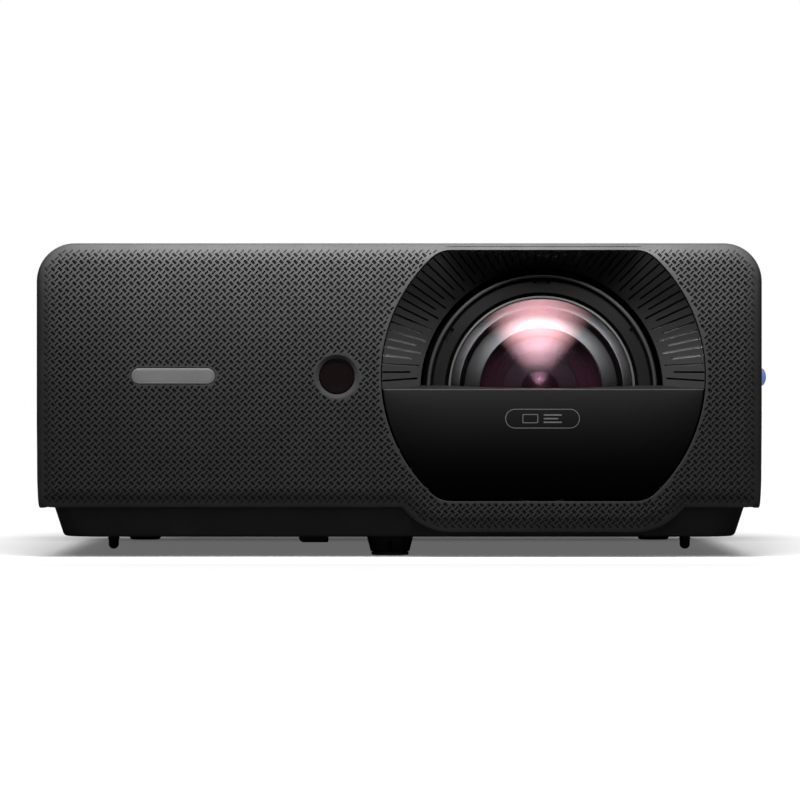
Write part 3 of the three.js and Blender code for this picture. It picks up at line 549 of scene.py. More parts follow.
def lens_reach(angle, radius):
    """Distance from the recess's centre to a circle about the lens axis along a direction."""
    drop = LENS_Z - RECESS_Z
    along = math.sin(angle) * drop
    return along + math.sqrt(along ** 2 - drop ** 2 + radius ** 2)


def polar(angle, r):
    return LENS_X + r * math.cos(angle), RECESS_Z + r * math.sin(angle)


def recess_outline(grow, steps=240, low=0.0, high=2 * math.pi):
    return [polar(a, reach(a, grow)) for a in np.linspace(low, high, steps, endpoint=high - low < 6)]


def panel_outline(inset):
    """The front panel's outline with its chin, moved inwards. Every inset gives as many points."""
    bottom, grow = SKIRT + 0.3 + inset, CHIN - inset

    def crossing(low, high):
        for _ in range(50):
            middle = (low + high) / 2
            if polar(middle, reach(middle, grow))[1] > bottom:
                high = middle
            else:
                low = middle
        return low

    right = crossing(-math.pi / 2, 0)
    chin = recess_outline(grow, 97, -math.pi - right, right)
    case = case_outline(PANEL_INSET + inset, bottom, 8)
    return chin[:-1] + spread(chin[-1], case[0], 16) + case + spread(case[-1], chin[0], 30)[1:]


def roll_depth(d):
    """Depth of the rolled-over edge behind the front face, at a distance in from the outline."""
    left = np.clip(1 - np.asarray(d, float) / ROLL_WIDTH, 0, 1)
    return PANEL_ROLL * (1 - np.sqrt(1 - left ** 2))


# ---- Front panel, with its basket weave of pressed-in dashes ----
CELL = 2.9  # side of one square of the weave, which stands on its corner
WEAVE_Z = 100  # height of a corner that the weave is laid out from
DASH_TIP, DASH_DEPTH = 1.4, 0.85  # half the length of a dash, and how deep it is pressed
EDGE = 1.6  # the rolled edge is made in rings as far in as this


def dash(middle, i, j, power, low=-DASH_TIP, high=DASH_TIP):
    """One pressed-in dash of the weave: its points, how far each is pressed in, its faces and their materials.
    The first eight points are its rim. Dashes along one diagonal are thin, and along the other they are broad
    with a ridge."""
    along = (i + j) % 2 == 0
    turn = math.radians(45 if along else 135)
    ca, sa = math.cos(turn), math.sin(turn)
    half = (0.54 if along else 0.86) * (0.7 + 0.3 * power)
    e = min(0.26, (high - low) / 4)
    points = [(low + e, -half), (high - e, -half), (high, -half / 2), (high, half / 2), (high - e, half),
              (low + e, half), (low, half / 2), (low, -half / 2)]
    rows = ((-0.66, 1), (0.66, 1)) if along else ((-0.62, 1), (-0.16, 0.45), (0.16, 0.45), (0.62, 1))
    sink = [0.0] * 8
    for across, down in rows:
        points += [(low + e, half * across), (high - e, half * across)]
        sink += [down * DASH_DEPTH * power] * 2
    last = 8 + 2 * len(rows) - 2
    made = [(0, 1, 9, 8)] + [(k, k + 1, k + 3, k + 2) for k in range(8, last, 2)] + [(last, last + 1, 4, 5)]
    if along:
        made += [(1, 2, 9), (2, 3, 11, 9), (3, 4, 11), (5, 6, 10), (6, 7, 8, 10), (7, 0, 8)]
    else:
        made += [(1, 2, 9), (2, 11, 9), (2, 3, 13, 11), (3, 15, 13), (3, 4, 15), (5, 6, 14), (6, 12, 14),
                 (6, 7, 10, 12), (7, 8, 10), (7, 0, 8)]
    # Dashes take painted shade: the pit material, or the paler shallow one where they fade.
    kinds = [1 if power >= 0.6 else 2] * len(made)
    placed = [(middle[0] + u * ca - v * sa, middle[1] + u * sa + v * ca) for u, v in points]
    return placed, sink, made, kinds


def longest_run(free):
    """The start and the end of the longest stretch of True values."""
    best, run = (0, 0), 0
    for k in range(len(free) + 1):
        if k < len(free) and free[k]:
            run += 1
            continue
        if run > best[1] - best[0]:
            best = (k - run, k)
        run = 0
    return best


def add_panel_edges(b, outline, ring_at, badge):
    """The panel's rolled edge, its sides, its hollow back, and the rims of its openings."""
    BEND, BEND_DEPTH, BACK_DEPTH = 5.2, 3.2, 7.5  # where the back turns flat, its depth there and at the wall
    turns = np.linspace(0, math.acos(1 - EDGE / ROLL_WIDTH), 8)
    insets = [ROLL_WIDTH * (1 - math.cos(t)) for t in turns[:-1]]
    rings = [behind(panel_outline(inset), float(roll_depth(inset))) for inset in insets]
    b.bridge([behind(outline, PANEL_DEPTH), *rings, behind(ring_at, float(roll_depth(EDGE)))])
    inner = panel_outline(WALL)
    b.bridge([behind(loop, PANEL_DEPTH) for loop in (outline, inner)])
    b.bridge([behind(inner, d) for d in (PANEL_DEPTH, BACK_DEPTH)])
    back_opening = recess_outline(0.4)
    back_window = circle(IR_X, IR_Z, IR_R + 0.3, 64)
    bend = np.array(panel_outline(BEND))
    bend = bend[~inside(bend, recess_outline(1.6))]
    points, faces = fill(inner, [back_opening, back_window], bend)

    def back_depth(points):
        return np.interp(distance(points, outline), (WALL, BEND), (BACK_DEPTH, BEND_DEPTH))

    b.add(behind(points, back_depth(points)), faces)

    # The opening's rounded lip, the window's bevelled seat and the badge's shallow pocket.
    rings = []
    for grow, deep in ((0.8, 0), (0.58, 0.07), (0.45, 0.25), (0.4, 0.5), (0.4, None)):
        loop = recess_outline(grow)
        depth = back_depth(loop) if deep is None else roll_depth(distance(loop, outline)) + deep
        rings.append(behind(loop, depth))
    b.bridge(rings)
    seat = [(2.6, 0), (2.35, 0.1), (0.5, 1.75), (0.3, 2.0), (0.3, 3.2)]
    b.bridge([behind(circle(IR_X, IR_Z, IR_R + grow, 64), deep) for grow, deep in seat])
    sunk = offset(badge, 0.12)
    b.bridge([behind(badge), behind(sunk, 0.12), behind(sunk, 0.9)])
    points, faces = fill(sunk, [])
    b.add(behind(points, 0.9), faces)


def make_front_panel():
    outline, ring_at = panel_outline(0), panel_outline(EDGE)
    opening = recess_outline(0.8)
    window = circle(IR_X, IR_Z, IR_R + 2.6, 64)
    badge = centred(BADGE_X, BADGE_Z, BADGE_HALF + 0.45, BADGE_R + 0.45, BADGE_R + 0.44, 10)
    loops = (ring_at, opening, window, badge)
    b = Builder("panel", "pit", "shallow")

    def on_panel(points):
        return inside(points, ring_at) & ~np.any([inside(points, gap) for gap in (opening, window, badge)], 0)

    # Squares of the weave. Whole ones lie clear of every edge, and the rest may hold a shortened dash.
    root = math.sqrt(0.5)
    span = int(330 / CELL)  # enough squares each way to cover the panel
    index = np.array([(i, j) for i in range(-span, span) for j in range(-span, span)])
    centre_uv = (index + 0.5) * CELL
    centre = np.stack([centre_uv[:, 0] - centre_uv[:, 1], centre_uv[:, 0] + centre_uv[:, 1]], 1) * root
    centre[:, 1] += WEAVE_Z
    rough = (abs(centre[:, 0]) < HALF) & (centre[:, 1] > 10) & (centre[:, 1] < TOP)
    index, centre = index[rough], centre[rough]
    clear = np.minimum.reduce([distance(centre, loop) for loop in loops])
    to_side = HALF - PANEL_INSET - abs(centre[:, 0])
    # The dashes fade out towards the panel's edges.
    strength = np.clip(np.minimum((distance(centre, outline) - 2.6) / 5.4, (to_side - 4.4) / 6.5), 0, 1)
    within = on_panel(centre)
    whole = within & (clear > CELL * 0.74)
    partial = ~whole & (within | (clear < CELL / 2)) & (strength > 0.05)
    corner_ids, corners, border = {}, [], {}

    def corner(i, j):
        if (i, j) not in corner_ids:
            corner_ids[i, j] = len(corners)
            u, v = i * CELL, j * CELL
            corners.append(((u - v) * root, (u + v) * root + WEAVE_Z))
        return corner_ids[i, j]

    cells = []
    for i, j in index[whole]:
        four = [corner(i, j), corner(i + 1, j), corner(i + 1, j + 1), corner(i, j + 1)]
        cells.append(four)
        for k in range(4):
            edge = (four[k], four[(k + 1) % 4])
            if edge[::-1] in border:
                del border[edge[::-1]]
            else:
                border[edge] = True
    points2, sink, faces, slots = list(corners), [0.0] * len(corners), [], []
    for four, (i, j), middle, power in zip(cells, index[whole], centre[whole], strength[whole]):
        if power < 0.05:
            faces.append(tuple(four))
            slots.append(0)
            continue
        first = len(points2)
        points, down, made, kinds = dash(middle, i, j, power)
        points2 += points
        sink += down
        c = four if (i + j) % 2 == 0 else four[1:] + four[:1]
        b0, b1, r0, r1, t0, t1, l0, l1 = range(first, first + 8)
        faces += [(c[0], c[1], b1, b0), (c[1], c[2], r1, r0), (c[2], c[3], t1, t0), (c[3], c[0], l1, l0),
                  (c[1], r0, b1), (c[2], t0, r1), (c[3], l0, t1), (c[0], b0, l1)]
        faces += [tuple(first + k for k in face) for face in made]
        slots += [0] * 8 + kinds

    # Shortened dashes in the squares that an edge crosses.
    rims = {}
    reachable = np.linspace(-DASH_TIP, DASH_TIP, 13)
    along = index[partial].sum(1) % 2 == 0
    heading = np.where(along[:, None], (root, root), (-root, root))
    lines = (centre[partial][:, None] + reachable[:, None] * heading[:, None]).reshape(-1, 2)
    room = np.minimum.reduce([distance(lines, loop) for loop in loops]) * on_panel(lines)
    open_at = room.reshape(-1, len(reachable)) > np.where(along, 0.8, 1.12)[:, None]
    for (i, j), middle, power, free in zip(index[partial], centre[partial], strength[partial], open_at):
        start, end = longest_run(free)
        if end - start < 5:
            continue
        points, down, made, kinds = dash(middle, i, j, power, reachable[start], reachable[end - 1])
        first = len(points2)
        points2 += points
        sink += down
        faces += [tuple(first + k for k in face) for face in made]
        slots += kinds
        rims[int(i), int(j)] = points[:8]
    depth = roll_depth(distance(np.array(points2), outline)) + np.array(sink)
    b.add(behind(points2, depth), faces)
    b.slots[-len(slots):] = slots

    # The plain border between the weave and the edges.
    points, edges = closed_edges([*loops, *rims.values()])
    used = {}
    for edge in border:
        for k in edge:
            used.setdefault(k, len(points) + len(used))
    points += [Vector(corners[k]) for k in used]
    edges += [(used[p], used[q]) for p, q in border]
    out, _, tris, *_ = delaunay_2d_cdt(points, edges, [], 1, 1e-5)
    out = np.array([tuple(p) for p in out])
    middles = np.array([out[list(t)].mean(0) for t in tris])
    across, up = middles[:, 0], middles[:, 1] - WEAVE_Z
    u = np.floor((up + across) * root / CELL).astype(int)
    v = np.floor((up - across) * root / CELL).astype(int)
    taken = {(int(i), int(j)) for i, j in index[whole]}
    keep = on_panel(middles)
    for k, key in enumerate(zip(u.tolist(), v.tolist())):
        if key in taken or (key in rims and inside(middles[k:k + 1], rims[key])[0]):
            keep[k] = False
    depth = roll_depth(distance(out, outline))
    b.add(behind(out, depth), [t for t, kept in zip(tris, keep) if kept])

    add_panel_edges(b, outline, ring_at, badge)
    return b.make("woven_front_panel", replaces="front_panel", slot="panel", angle=38, merge=0.02)


def make_window_and_badge():
    dish = cap(IR_R - 0.25, 2.3, 1.9, 8)
    flange = [(IR_R, 2.2), (IR_R, 3.4), (IR_R + 1.9, 3.5), (IR_R + 1.9, 4.5), (0, 4.5)]
    turned("infrared_window", "infrared", [*dish, *flange], (IR_X, FRONT, IR_Z), replaces="ir_window",
           slot="ir_glass", soft=0.2, segments=72)

    b = Builder("badge")
    loop = centred(BADGE_X, BADGE_Z, BADGE_HALF, BADGE_R, BADGE_R - 0.01, 12)
    # Rounded edges, and a groove that runs round the face.
    levels = ((0, 0.6), (0, 0.25), (0.12, 0.08), (0.35, 0), (0.95, 0), (1.15, 0.16), (1.35, 0))
    b.bridge([behind(offset(loop, inset), d) for inset, d in levels])
    for ring, d in ((offset(loop, 1.35), 0), (loop, 0.6)):
        points, faces = fill(ring, [])
        b.add(behind(points, d), faces)
    b.make("blank_badge", replaces="badge_plate", slot="badge")


# ---- Lens recess ----
def make_bezel():
    """The funnel round the lens, with a fan of slots, alternately long and short. Their outer ends are spaced
    evenly along the outline from the middle of its top, and their inner ends evenly round the lens."""
    SLOT_HALF, SLOT_DEEP, COUNT = 0.52, 1.9, 30
    ALONG, ROUND = 4.93, math.radians(2.92)
    LOW, LIP = LENS_Z + 0.3, -0.35

    def surface(x, z):
        a = math.atan2(z - RECESS_Z, x - LENS_X)
        r_in, r_out = lens_reach(a, BEZEL_R), reach(a, LIP)
        t = (math.hypot(x - LENS_X, z - RECESS_Z) - r_in) / (r_out - r_in)
        return FRONT + BEZEL_DEPTH - (BEZEL_DEPTH - 1) * min(max(t, 0), 1)

    edge = np.array([polar(a, reach(a, LIP)) for a in np.linspace(math.pi / 2, -0.12, 900)])
    lengths = np.concatenate([[0], np.cumsum(np.linalg.norm(np.diff(edge, axis=0), axis=1))])

    def ends(n):
        """Where the line numbered n, counted from the top, meets the outline and the inner circle."""
        x, z = (np.interp(abs(n) * ALONG, lengths, edge[:, axis]) for axis in (0, 1))
        turn = math.pi / 2 - abs(n) * ROUND
        side = 1 if n >= 0 else -1
        inner = (LENS_X + side * BEZEL_R * math.cos(turn), LENS_Z + BEZEL_R * math.sin(turn))
        return np.array(inner), np.array((LENS_X + side * (x - LENS_X), z))

    columns = []  # each is a line of points from the inner edge to the outline, and whether a slot follows it
    low_in = math.sqrt(BEZEL_R ** 2 - (LOW - LENS_Z) ** 2)
    low_out = math.sqrt(reach(0, LIP) ** 2 - (LOW - RECESS_Z) ** 2)

    def level(side):
        return [(LENS_X + side * r, LOW) for r in (low_in, low_in + 0.7, low_in + 4, low_out - 0.06, low_out)]

    columns.append((level(-1), False))
    for n in range(-2 * COUNT + 1, 2 * COUNT):
        inner, outer = ends(n / 2)
        if min(inner[1], outer[1]) < LOW + 1.2:
            continue
        long = (n // 2) % 2 == 1
        size = np.linalg.norm(outer - inner)
        ray = (outer - inner) / size
        start = min(2.1, size * 0.16) if long or n % 2 else min(6.5, size * 0.5)
        flat = [inner + ray * d for d in (0, min(0.7, start / 2), start, size - 0.06, size)]
        if n % 2:
            columns.append((flat, False))
        else:
            across = np.array((-ray[1], ray[0])) * SLOT_HALF
            columns += [([p + across for p in flat], True), ([p - across for p in flat], False)]
    columns.append((level(1), False))
    lines = [[(x, surface(x, z), z) for x, z in flat] for flat, _ in columns]

    def towards(p, q, t):
        return tuple(p[i] + (q[i] - p[i]) * t for i in range(3))

    b = Builder("bezel", "slot", "hole")
    for k in range(len(lines) - 1):
        a, c = lines[k], lines[k + 1]
        for s in range(4):
            quad = [a[s], c[s], c[s + 1], a[s + 1]]
            # Slot walls and floors take the slot material, with its painted highlight low down and painted
            # shade above.
            if columns[k][1] and s == 2:
                floor = [towards(quad[i], quad[i ^ 1], 0.1) for i in range(4)]
                floor = [(x, y + SLOT_DEEP, z) for x, y, z in floor]
                walls = [(i, (i + 1) % 4, 4 + (i + 1) % 4, 4 + i) for i in range(4)]
                b.add(quad + floor, [*walls, (4, 5, 6, 7)], 1)
            else:
                b.face(quad)
    # The outer rim and the band behind the funnel's edge are painted black as shade.
    back = [[(x, y + 2.4, z) for x, y, z in (line[0], line[-1])] for line in lines]
    for k in range(len(lines) - 1):
        front_a, front_b, back_a, back_b = lines[k], lines[k + 1], back[k], back[k + 1]
        b.face([back_a[0], back_b[0], back_b[1], back_a[1]])
        b.face([front_a[0], front_b[0], back_b[0], back_a[0]])
        b.face([front_a[-1], front_b[-1], back_b[-1], back_a[-1]], 2)
    for line, rear in ((lines[0], back[0]), (lines[-1], back[-1])):
        b.face([*line, rear[1], rear[0]])
    lowest = math.atan2(LOW - RECESS_Z, low_out)
    rings = [behind(recess_outline(grow, 160, lowest, math.pi - lowest), d)
             for grow, d in ((-1.6, 3.6), (2.6, 3.6), (2.6, 4.6), (-1.6, 4.6), (-1.6, 3.6))]
    b.bridge(rings, 2, around=False)
    for k in (0, -1):
        b.face([ring[k] for ring in rings[:4]], 2)
    b.make("slotted_lens_bezel", replaces="lens_bezel", slot="bezel", angle=24, merge=0.01)


def make_shroud():
    """The half cover: a plate flush with the front, and a shelf that climbs back to the lens."""
    FACE, THICK, SHELF = FRONT + 0.8, 3.0, 2.2
    RIM, SAG = 57, 19.5  # half the width, and the depth, of the shelf's curved end in front of the glass
    edge = math.sqrt(reach(0, -0.6) ** 2 - (RECESS_Z - LENS_Z) ** 2)
    lowest = math.atan2(LENS_Z - RECESS_Z, edge)
    loop = recess_outline(-0.6, 181, -math.pi - lowest, lowest)
    loop += spread((LENS_X + edge, LENS_Z), (LENS_X - edge, LENS_Z), 60)[1:]
    b = Builder("shroud", "edge")
    plate(b, loop, [], FACE, FACE + THICK)
    # Faces along the top front edge take a paler painted highlight.
    for k, face in enumerate(b.faces):
        if all(b.verts[i][2] > LENS_Z - 0.45 and b.verts[i][1] < FACE + 0.45 for i in face):
            b.slots[k] = 1
    radius = cap_radius(RIM, 0, SAG)

    def shelf_end(x):
        r = abs(x - LENS_X)
        wall = 27 if r < 70 else 27 - (r - 70) / (reach(0, -2.4) - 70) * 26
        return wall if r >= RIM else min(wall, 8.5 + radius - math.sqrt(radius ** 2 - r ** 2))

    def top(d):
        return LENS_Z - 0.05 + (d - 0.8) * 0.09

    lines = []
    for across in np.linspace(1.8 - edge, edge - 1.8, 121):
        end = max(shelf_end(LENS_X + across), 2.2)
        section = ((1.3, top(1.3)), (end - 0.4, top(end - 0.4)), (end, top(end) - 0.4),
                   (end, top(end) - SHELF), (1.3, top(1.3) - SHELF))
        lines.append([(LENS_X + across, FRONT + d, z) for d, z in section])
    b.bridge(lines, ends=True)
    b.make("lens_half_cover", replaces="lens_shroud", slot="shroud", angle=30)

    # A blank capsule frame printed on the cover, with a plain picture of a screen and three lines in it.
    b = Builder("ink")
    cx, cz, ink = LENS_X - 0.5, 79.8, 0.05
    capsule = centred(cx, cz, 21.4, 5.6, 5.59, 14)
    screen = centred(cx - 7, cz, 4.5, 2.6, 0.6, 4)
    for outer, width in ((capsule, 0.42), (screen, 0.45)):
        inner = offset(outer, width)
        b.bridge([behind(ring, -d, FACE) for ring, d in ((outer, 0), (outer, ink), (inner, ink), (inner, 0))])
    for k, length in enumerate((10.5, 8.5, 10.5)):
        z = cz + 2.1 - 2.1 * k
        bar = rounded_rect(cx + 0.6, z - 0.4, cx + 0.6 + length, z + 0.4, 0.38, 4)
        b.bridge([behind(bar, -d, FACE) for d in (0, ink)])
        points, faces = fill(bar, [])
        b.add(behind(points, -ink, FACE), faces)
    b.make("cover_print", slot="badge", closed=False)


# ---- Lens ----
def make_lens():
    lens = (LENS_X, FRONT, LENS_Z)

    def notched(r, h, turn):
        """Six notches in the outer edge of the focus ring's flat face."""
        off = abs(turn % (math.pi / 3) - math.pi / 6)
        return (r, h + 2.2) if h < 31 and 61.7 < r < 63.4 and off * 63 < 4.6 else (r, h)

    b = Builder("anodised", "bead", "hole")
    bead = [(65.95 - 1.05 * math.cos(t), 29.4 - 1.05 * math.sin(t)) for t in np.linspace(0, math.pi, 9)]
    face = [(57.4, 38.5), (57.4, 34), (56.2, 33), (56.2, 30.3), (56.5, 30.0), (61.6, 30.0), (61.75, 30.02),
            (62.9, 30.03), (63.3, 30.4)]
    rim = [(67.1, 46), (68.7, 47), (68.7, 58), (62.7, 58), (62.7, 38.5)]
    profile = [(63.3, 37), (64.9, 37), *bead, *rim, *face]
    lathe(b, profile, lens, soft=0, segments=240, tick=notched)
    for k, four in enumerate(b.faces):  # the bead shines, and the grooves beside it and the notches are painted black as shade
        at = k % len(profile)
        sunk = at > 14 and all(FRONT + 31 < b.verts[i][1] < FRONT + 33 for i in four[1:3])
        b.slots[k] = 2 if at in (0, 1, 10, 11, len(profile) - 1) or sunk else 1 if at < 11 else 0
    b.make("focus_ring_turned", "focus_ring", "focus_ring", "lens_metal", angle=28)

    tube = [(57.5, 40), (62.2, 40), (62.2, 96), (72, 96), (72, 100), (46, 100), (46, 165), (42, 165),
            (42, 97), (57.5, 97)]
    turned("lens_tube", "anodised", tube, lens, replaces="lens_barrel", slot="lens_metal", soft=0.5,
           segments=96)

    # A well painted black as shade, so that no light comes through the gap round the focus ring.
    well = [(70.9, 32.6), (71.7, 32.6), (71.7, 60.6), (62.5, 60.6), (62.5, 59.4), (70.9, 59.4)]
    turned("lens_well", "hole", well, lens, slot="lens_metal")

    b = Builder("bright", "hole")
    profile = [(53.0, 60), (53.0, 29.1), (53.2, 28.8), (54.1, 28.8), (54.3, 29.1), (54.3, 42), (57, 42),
               (57, 60)]
    lathe(b, profile, lens, soft=0, segments=160)
    # The lip is bright anodised, and the deeper part is painted black as shade.
    b.slots = [0 if k % len(profile) < 4 else 1 for k in range(len(b.faces))]
    b.make("front_retaining_ring", "lens_cell", "front_cell", "lens_metal")

    # A ledge that slopes back outwards, a deep groove painted black as shade, and a curved cone inside it; the
    # ledge and the cone carry painted light.
    b = Builder("ledge", "hole", "cone")
    shares = [i / 12 for i in range(13)]
    cove = [(44.5 - 8.6 * t, 44.6 - 5.4 * (0.45 * t + 0.55 * t ** 2)) for t in shares]
    ledge = [(52.9, 54), (52.9, 39.6), (52.6, 39.3), (48.0, 36.2)]
    groove = [(47.5, 36.4), (47.5, 53), (44.6, 53)]
    profile = [*ledge, *groove, *cove, (35.7, 39.5), (35.7, 54)]
    lathe(b, profile, lens, soft=0, segments=160)
    places = [k % len(profile) for k in range(len(b.faces))]
    b.slots = [0 if at < len(ledge) else 1 if at < len(ledge + groove) else 2 for at in places]
    b.make("stepped_cone_baffle", "lens_cell", "inner_baffle", "lens_metal", angle=20)

    for name, glass, rim, vertex, depth, thick, node in (
            ("front_dome_glass", "front_glass", 52.9, 19.6, 29.6, 1.4, "front_element"),
            ("second_dome_glass", "inner_glass", 35.4, 43, 49.4, 0.9, "second_element")):
        radius = cap_radius(rim, vertex, depth)
        small = rim * (radius - thick) / radius  # the rim of the inner face, which has the same centre
        behind_it = radius - thick - math.sqrt((radius - thick) ** 2 - small ** 2)
        outer, inner = cap(rim, vertex, depth, 26), cap(small, vertex + thick, vertex + thick + behind_it, 26)
        bowl = [*outer, (rim - 0.05, depth + 0.5), (small, depth + 0.8), *reversed(inner)]
        turned(name, glass, bowl, lens, "lens_cell", node, "lens_glass", 40, soft=0)
    rear = [*cap(41.5, 118, 126, 12), (41.5, 130), (0, 130)]
    turned("rear_glass", "pupil_glass", rear, lens, "housing", "rear_element", "lens_glass", 40, soft=0,
           segments=96)

    # What shows through the glass: a dark throat with rings, and the small pupil lens at its end.
    throat = [(35.5, 53.9), (35.2, 53.6), (33.0, 53.6), (31.2, 54.2), (31.0, 55.2), (28.0, 55.4),
              (27.7, 55.1), (27.5, 56.4), (25.2, 57.0), (25.0, 57.6), (22.6, 57.8), (22.3, 57.5), (22.3, 70),
              (35.5, 70)]
    turned("lens_throat", "throat", throat, lens, "lens_cell", slot="lens_metal", soft=0.12)
    holder = [(10.9, 62), (11.1, 61.7), (21.8, 60.2), (22.1, 60.5), (22.1, 70), (10.9, 70)]
    # The holder takes the cone's satin, with its painted light.
    turned("pupil_holder", "cone", holder, lens, "lens_cell", slot="lens_metal", soft=0.1, segments=96)
    b = Builder("pupil_glass", "throat")
    lathe(b, [*cap(10.7, 58.2, 60.7, 14), (10.7, 63.0), (0, 63.0)], lens, soft=0, segments=64)
    lathe(b, [(0, 63.3), (10.7, 63.3), (10.7, 69.8), (0, 69.8)], lens, slot=1, soft=0.1, segments=48)
    b.make("pupil_lens", "lens_cell", slot="lens_glass")


# ---- Case ----
def make_case():
    """The wrap-round cover: a grid on its outline and depth, with windows left out of it, inside and out."""
    FRONT_EDGE = FRONT + PANEL_DEPTH + 0.2
    VENT_Y, VENT_Z = (-55, 120), (50, 140)
    KEYPAD_Y, KEYPAD_Z = (FRONT + 12.5, FRONT + 42.5), (60, 152)
    # How far the side is drawn in at each height, down to its gently rounded lower edge.
    TUCK_Z = [SKIRT, SKIRT + 0.3, SKIRT + 0.9, SKIRT + 2.1, 32.7, 35.6, 44, KNEE_Z]
    TUCK = [2.0, 1.6, 1.3, 1.0, 0.8, 0.58, 0.25, 0]
    LEVELS = [*TUCK_Z[:-2], 40, 44, VENT_Z[0], KEYPAD_Z[0], KNEE_Z, 100, 120, VENT_Z[1], KEYPAD_Z[1]]
    vent_levels, keypad_levels = [range(*map(LEVELS.index, heights)) for heights in (VENT_Z, KEYPAD_Z)]

    def around(inset):
        half, top, r = HALF - inset, TOP - inset, CORNER_R - inset
        right = [(half - np.interp(z, TUCK_Z, TUCK), z) for z in LEVELS]
        right += arc(half - r, top - r, r, 0, math.pi / 2, 14)
        left = [(-x, z) for x, z in reversed(right)]
        return right + spread(right[-1], left[0], 10)[1:] + left

    outer, inner = around(0), around(WALL)
    total = len(outer)
    ys = [FRONT_EDGE, FRONT_EDGE + 0.2, *KEYPAD_Y, -90, VENT_Y[0], 0, 60, VENT_Y[1], 150, REAR - 0.6, REAR]
    insets = [0.2] + [0] * (len(ys) - 2) + [0.6]  # the outer face's ends are rounded off
    outside = [[(x, y, max(z, SKIRT)) for x, z in offset(outer, inset)] for y, inset in zip(ys, insets)]
    within = [[(x, y, max(z, SKIRT)) for x, z in inner] for y in ys]

    def hole(row, k):
        """Is this cell of the grid part of a window? row counts along the depth, k along the outline."""
        on_right = k < total / 2
        level = k if on_right else total - 2 - k
        vent = level in vent_levels and VENT_Y[0] <= ys[row] < VENT_Y[1]
        return vent or (on_right and level in keypad_levels and KEYPAD_Y[0] <= ys[row] < KEYPAD_Y[1])

    b = Builder("case")

    def wall(p, q):
        """Closes the gap between the outer and inner faces along one edge of the grid."""
        b.face([outside[p[0]][p[1]], outside[q[0]][q[1]], within[q[0]][q[1]], within[p[0]][p[1]]])

    cells = [(r, k) for r in range(len(ys) - 1) for k in range(total - 1)]
    for rows in (outside, within):
        for r, k in cells:
            if not hole(r, k):
                b.face([rows[r][k], rows[r][k + 1], rows[r + 1][k + 1], rows[r + 1][k]])
    for r, k in cells:
        if hole(r, k):
            for beside, p, q in (((r - 1, k), (r, k), (r, k + 1)), ((r + 1, k), (r + 1, k), (r + 1, k + 1)),
                                 ((r, k - 1), (r, k), (r + 1, k)), ((r, k + 1), (r, k + 1), (r + 1, k + 1))):
                if not hole(*beside):
                    wall(p, q)
    for r in (0, len(ys) - 1):
        for k in range(total - 1):
            wall((r, k), (r, k + 1))
    for k in (0, total - 1):
        for r in range(len(ys) - 1):
            wall((r, k), (r + 1, k))
    b.make("wrap_round_cover", replaces="top_cover", slot="case_shell", angle=35)


def cut_holes(piece, cutter):
    """Cuts a builder's closed shapes out of a piece."""
    tool = cutter.make("cutter")
    change = piece.modifiers.new("cut", "BOOLEAN")
    change.object, change.operation, change.solver = tool, "DIFFERENCE", "EXACT"
    bpy.context.view_layer.update()
    done = bpy.data.meshes.new_from_object(piece.evaluated_get(bpy.context.evaluated_depsgraph_get()))
    piece.modifiers.clear()
    piece.data = done
    bpy.data.objects.remove(tool)
    done.shade_smooth()
    done.set_sharp_from_angle(angle=math.radians(30))


def make_base():
    """The tapered tray under the case, with its foot boss, ceiling bosses, vents and holes for screws."""
    FLANGE = SKIRT + 0.4
    BOSSES = [(side * 110, y) for side in (-1, 1) for y in (-50, 70)]
    front_top, front_low = FRONT + PANEL_DEPTH + 0.7, FRONT + PANEL_DEPTH + 4.8
    rear_top, rear_low = REAR - 8, REAR - 13

    def ring(t, inset, z):
        """The tray's outline: t is 0 at its top and 1 at its bottom."""
        half = 201 - 5.6 * t - inset
        y0, y1 = front_top + (front_low - front_top) * t + inset, rear_top + (rear_low - rear_top) * t - inset
        return [(x, y, z) for x, y in rounded_rect(-half, y0, half, y1, 26 - 2 * t - inset, 12)]

    def at(points, z):
        return [(p[0], p[1], z) for p in points]

    b = Builder("base", "hole")
    edge = [(1 - 0.116 * (1 - math.sin(a)), 2 * (1 - math.cos(a)), BASE + 2 * (1 - math.sin(a)))
            for a in np.linspace(0, math.pi / 2, 7)]
    rings = [ring(*level) for level in [(0.055, 0, FLANGE - 0.95), *edge]]
    # A band just under the flange is painted black as the shadow under the case's edge.
    b.bridge([ring(0, 0, FLANGE), rings[0]], 1)
    b.bridge(rings)
    b.face(ring(1, 2, BASE))
    inner = [ring(0, WALL, FLANGE), ring(0.8, WALL, BASE + WALL + 1), ring(1, WALL + 3, BASE + WALL)]
    b.bridge(inner)
    b.face(inner[-1])
    # The flange is a flat ring with as many points as the tray's own outline.
    flange_x = HALF - SIDE_LEAN - WALL - 0.5
    lip = rounded_rect(-flange_x, front_top, flange_x, REAR - 4, 4, 12)
    top = FLANGE + WALL
    b.bridge([ring(0, 0, FLANGE), at(lip, FLANGE), at(lip, top), at(inner[0], top), inner[0]])
    tray = b.make("base_tray", replaces="lower_case", slot="base", angle=30)

    cutter = Builder("base")
    holes = [rounded_rect(-170 + 9 * k, -30, -166 + 9 * k, 40, 1.9, 5) for k in range(9)]
    holes += [circle(FOOT_X, FOOT_Y, 9, 32)] + [circle(x, y, 1.7, 32) for x, y in BOSSES]
    for hole in holes:
        cutter.bridge([at(hole, 0), at(hole, 20)], ends=True)
    cut_holes(tray, cutter)

    b = Builder("base")
    lathe(b, [(4.6, BASE + 0.15), (8.9, BASE + 0.15), (8.9, 34), (4.6, 34)], (FOOT_X, FOOT_Y, 0), "Z", 48)
    boss = [(1.7, BASE - 0.8), (6.6, BASE - 0.8), (8, BASE + 0.3), (8, 24), (1.7, 24)]
    for x, y in BOSSES:
        lathe(b, boss, (x, y, 0), "Z", 40)
    b.make("base_bosses", slot="base")


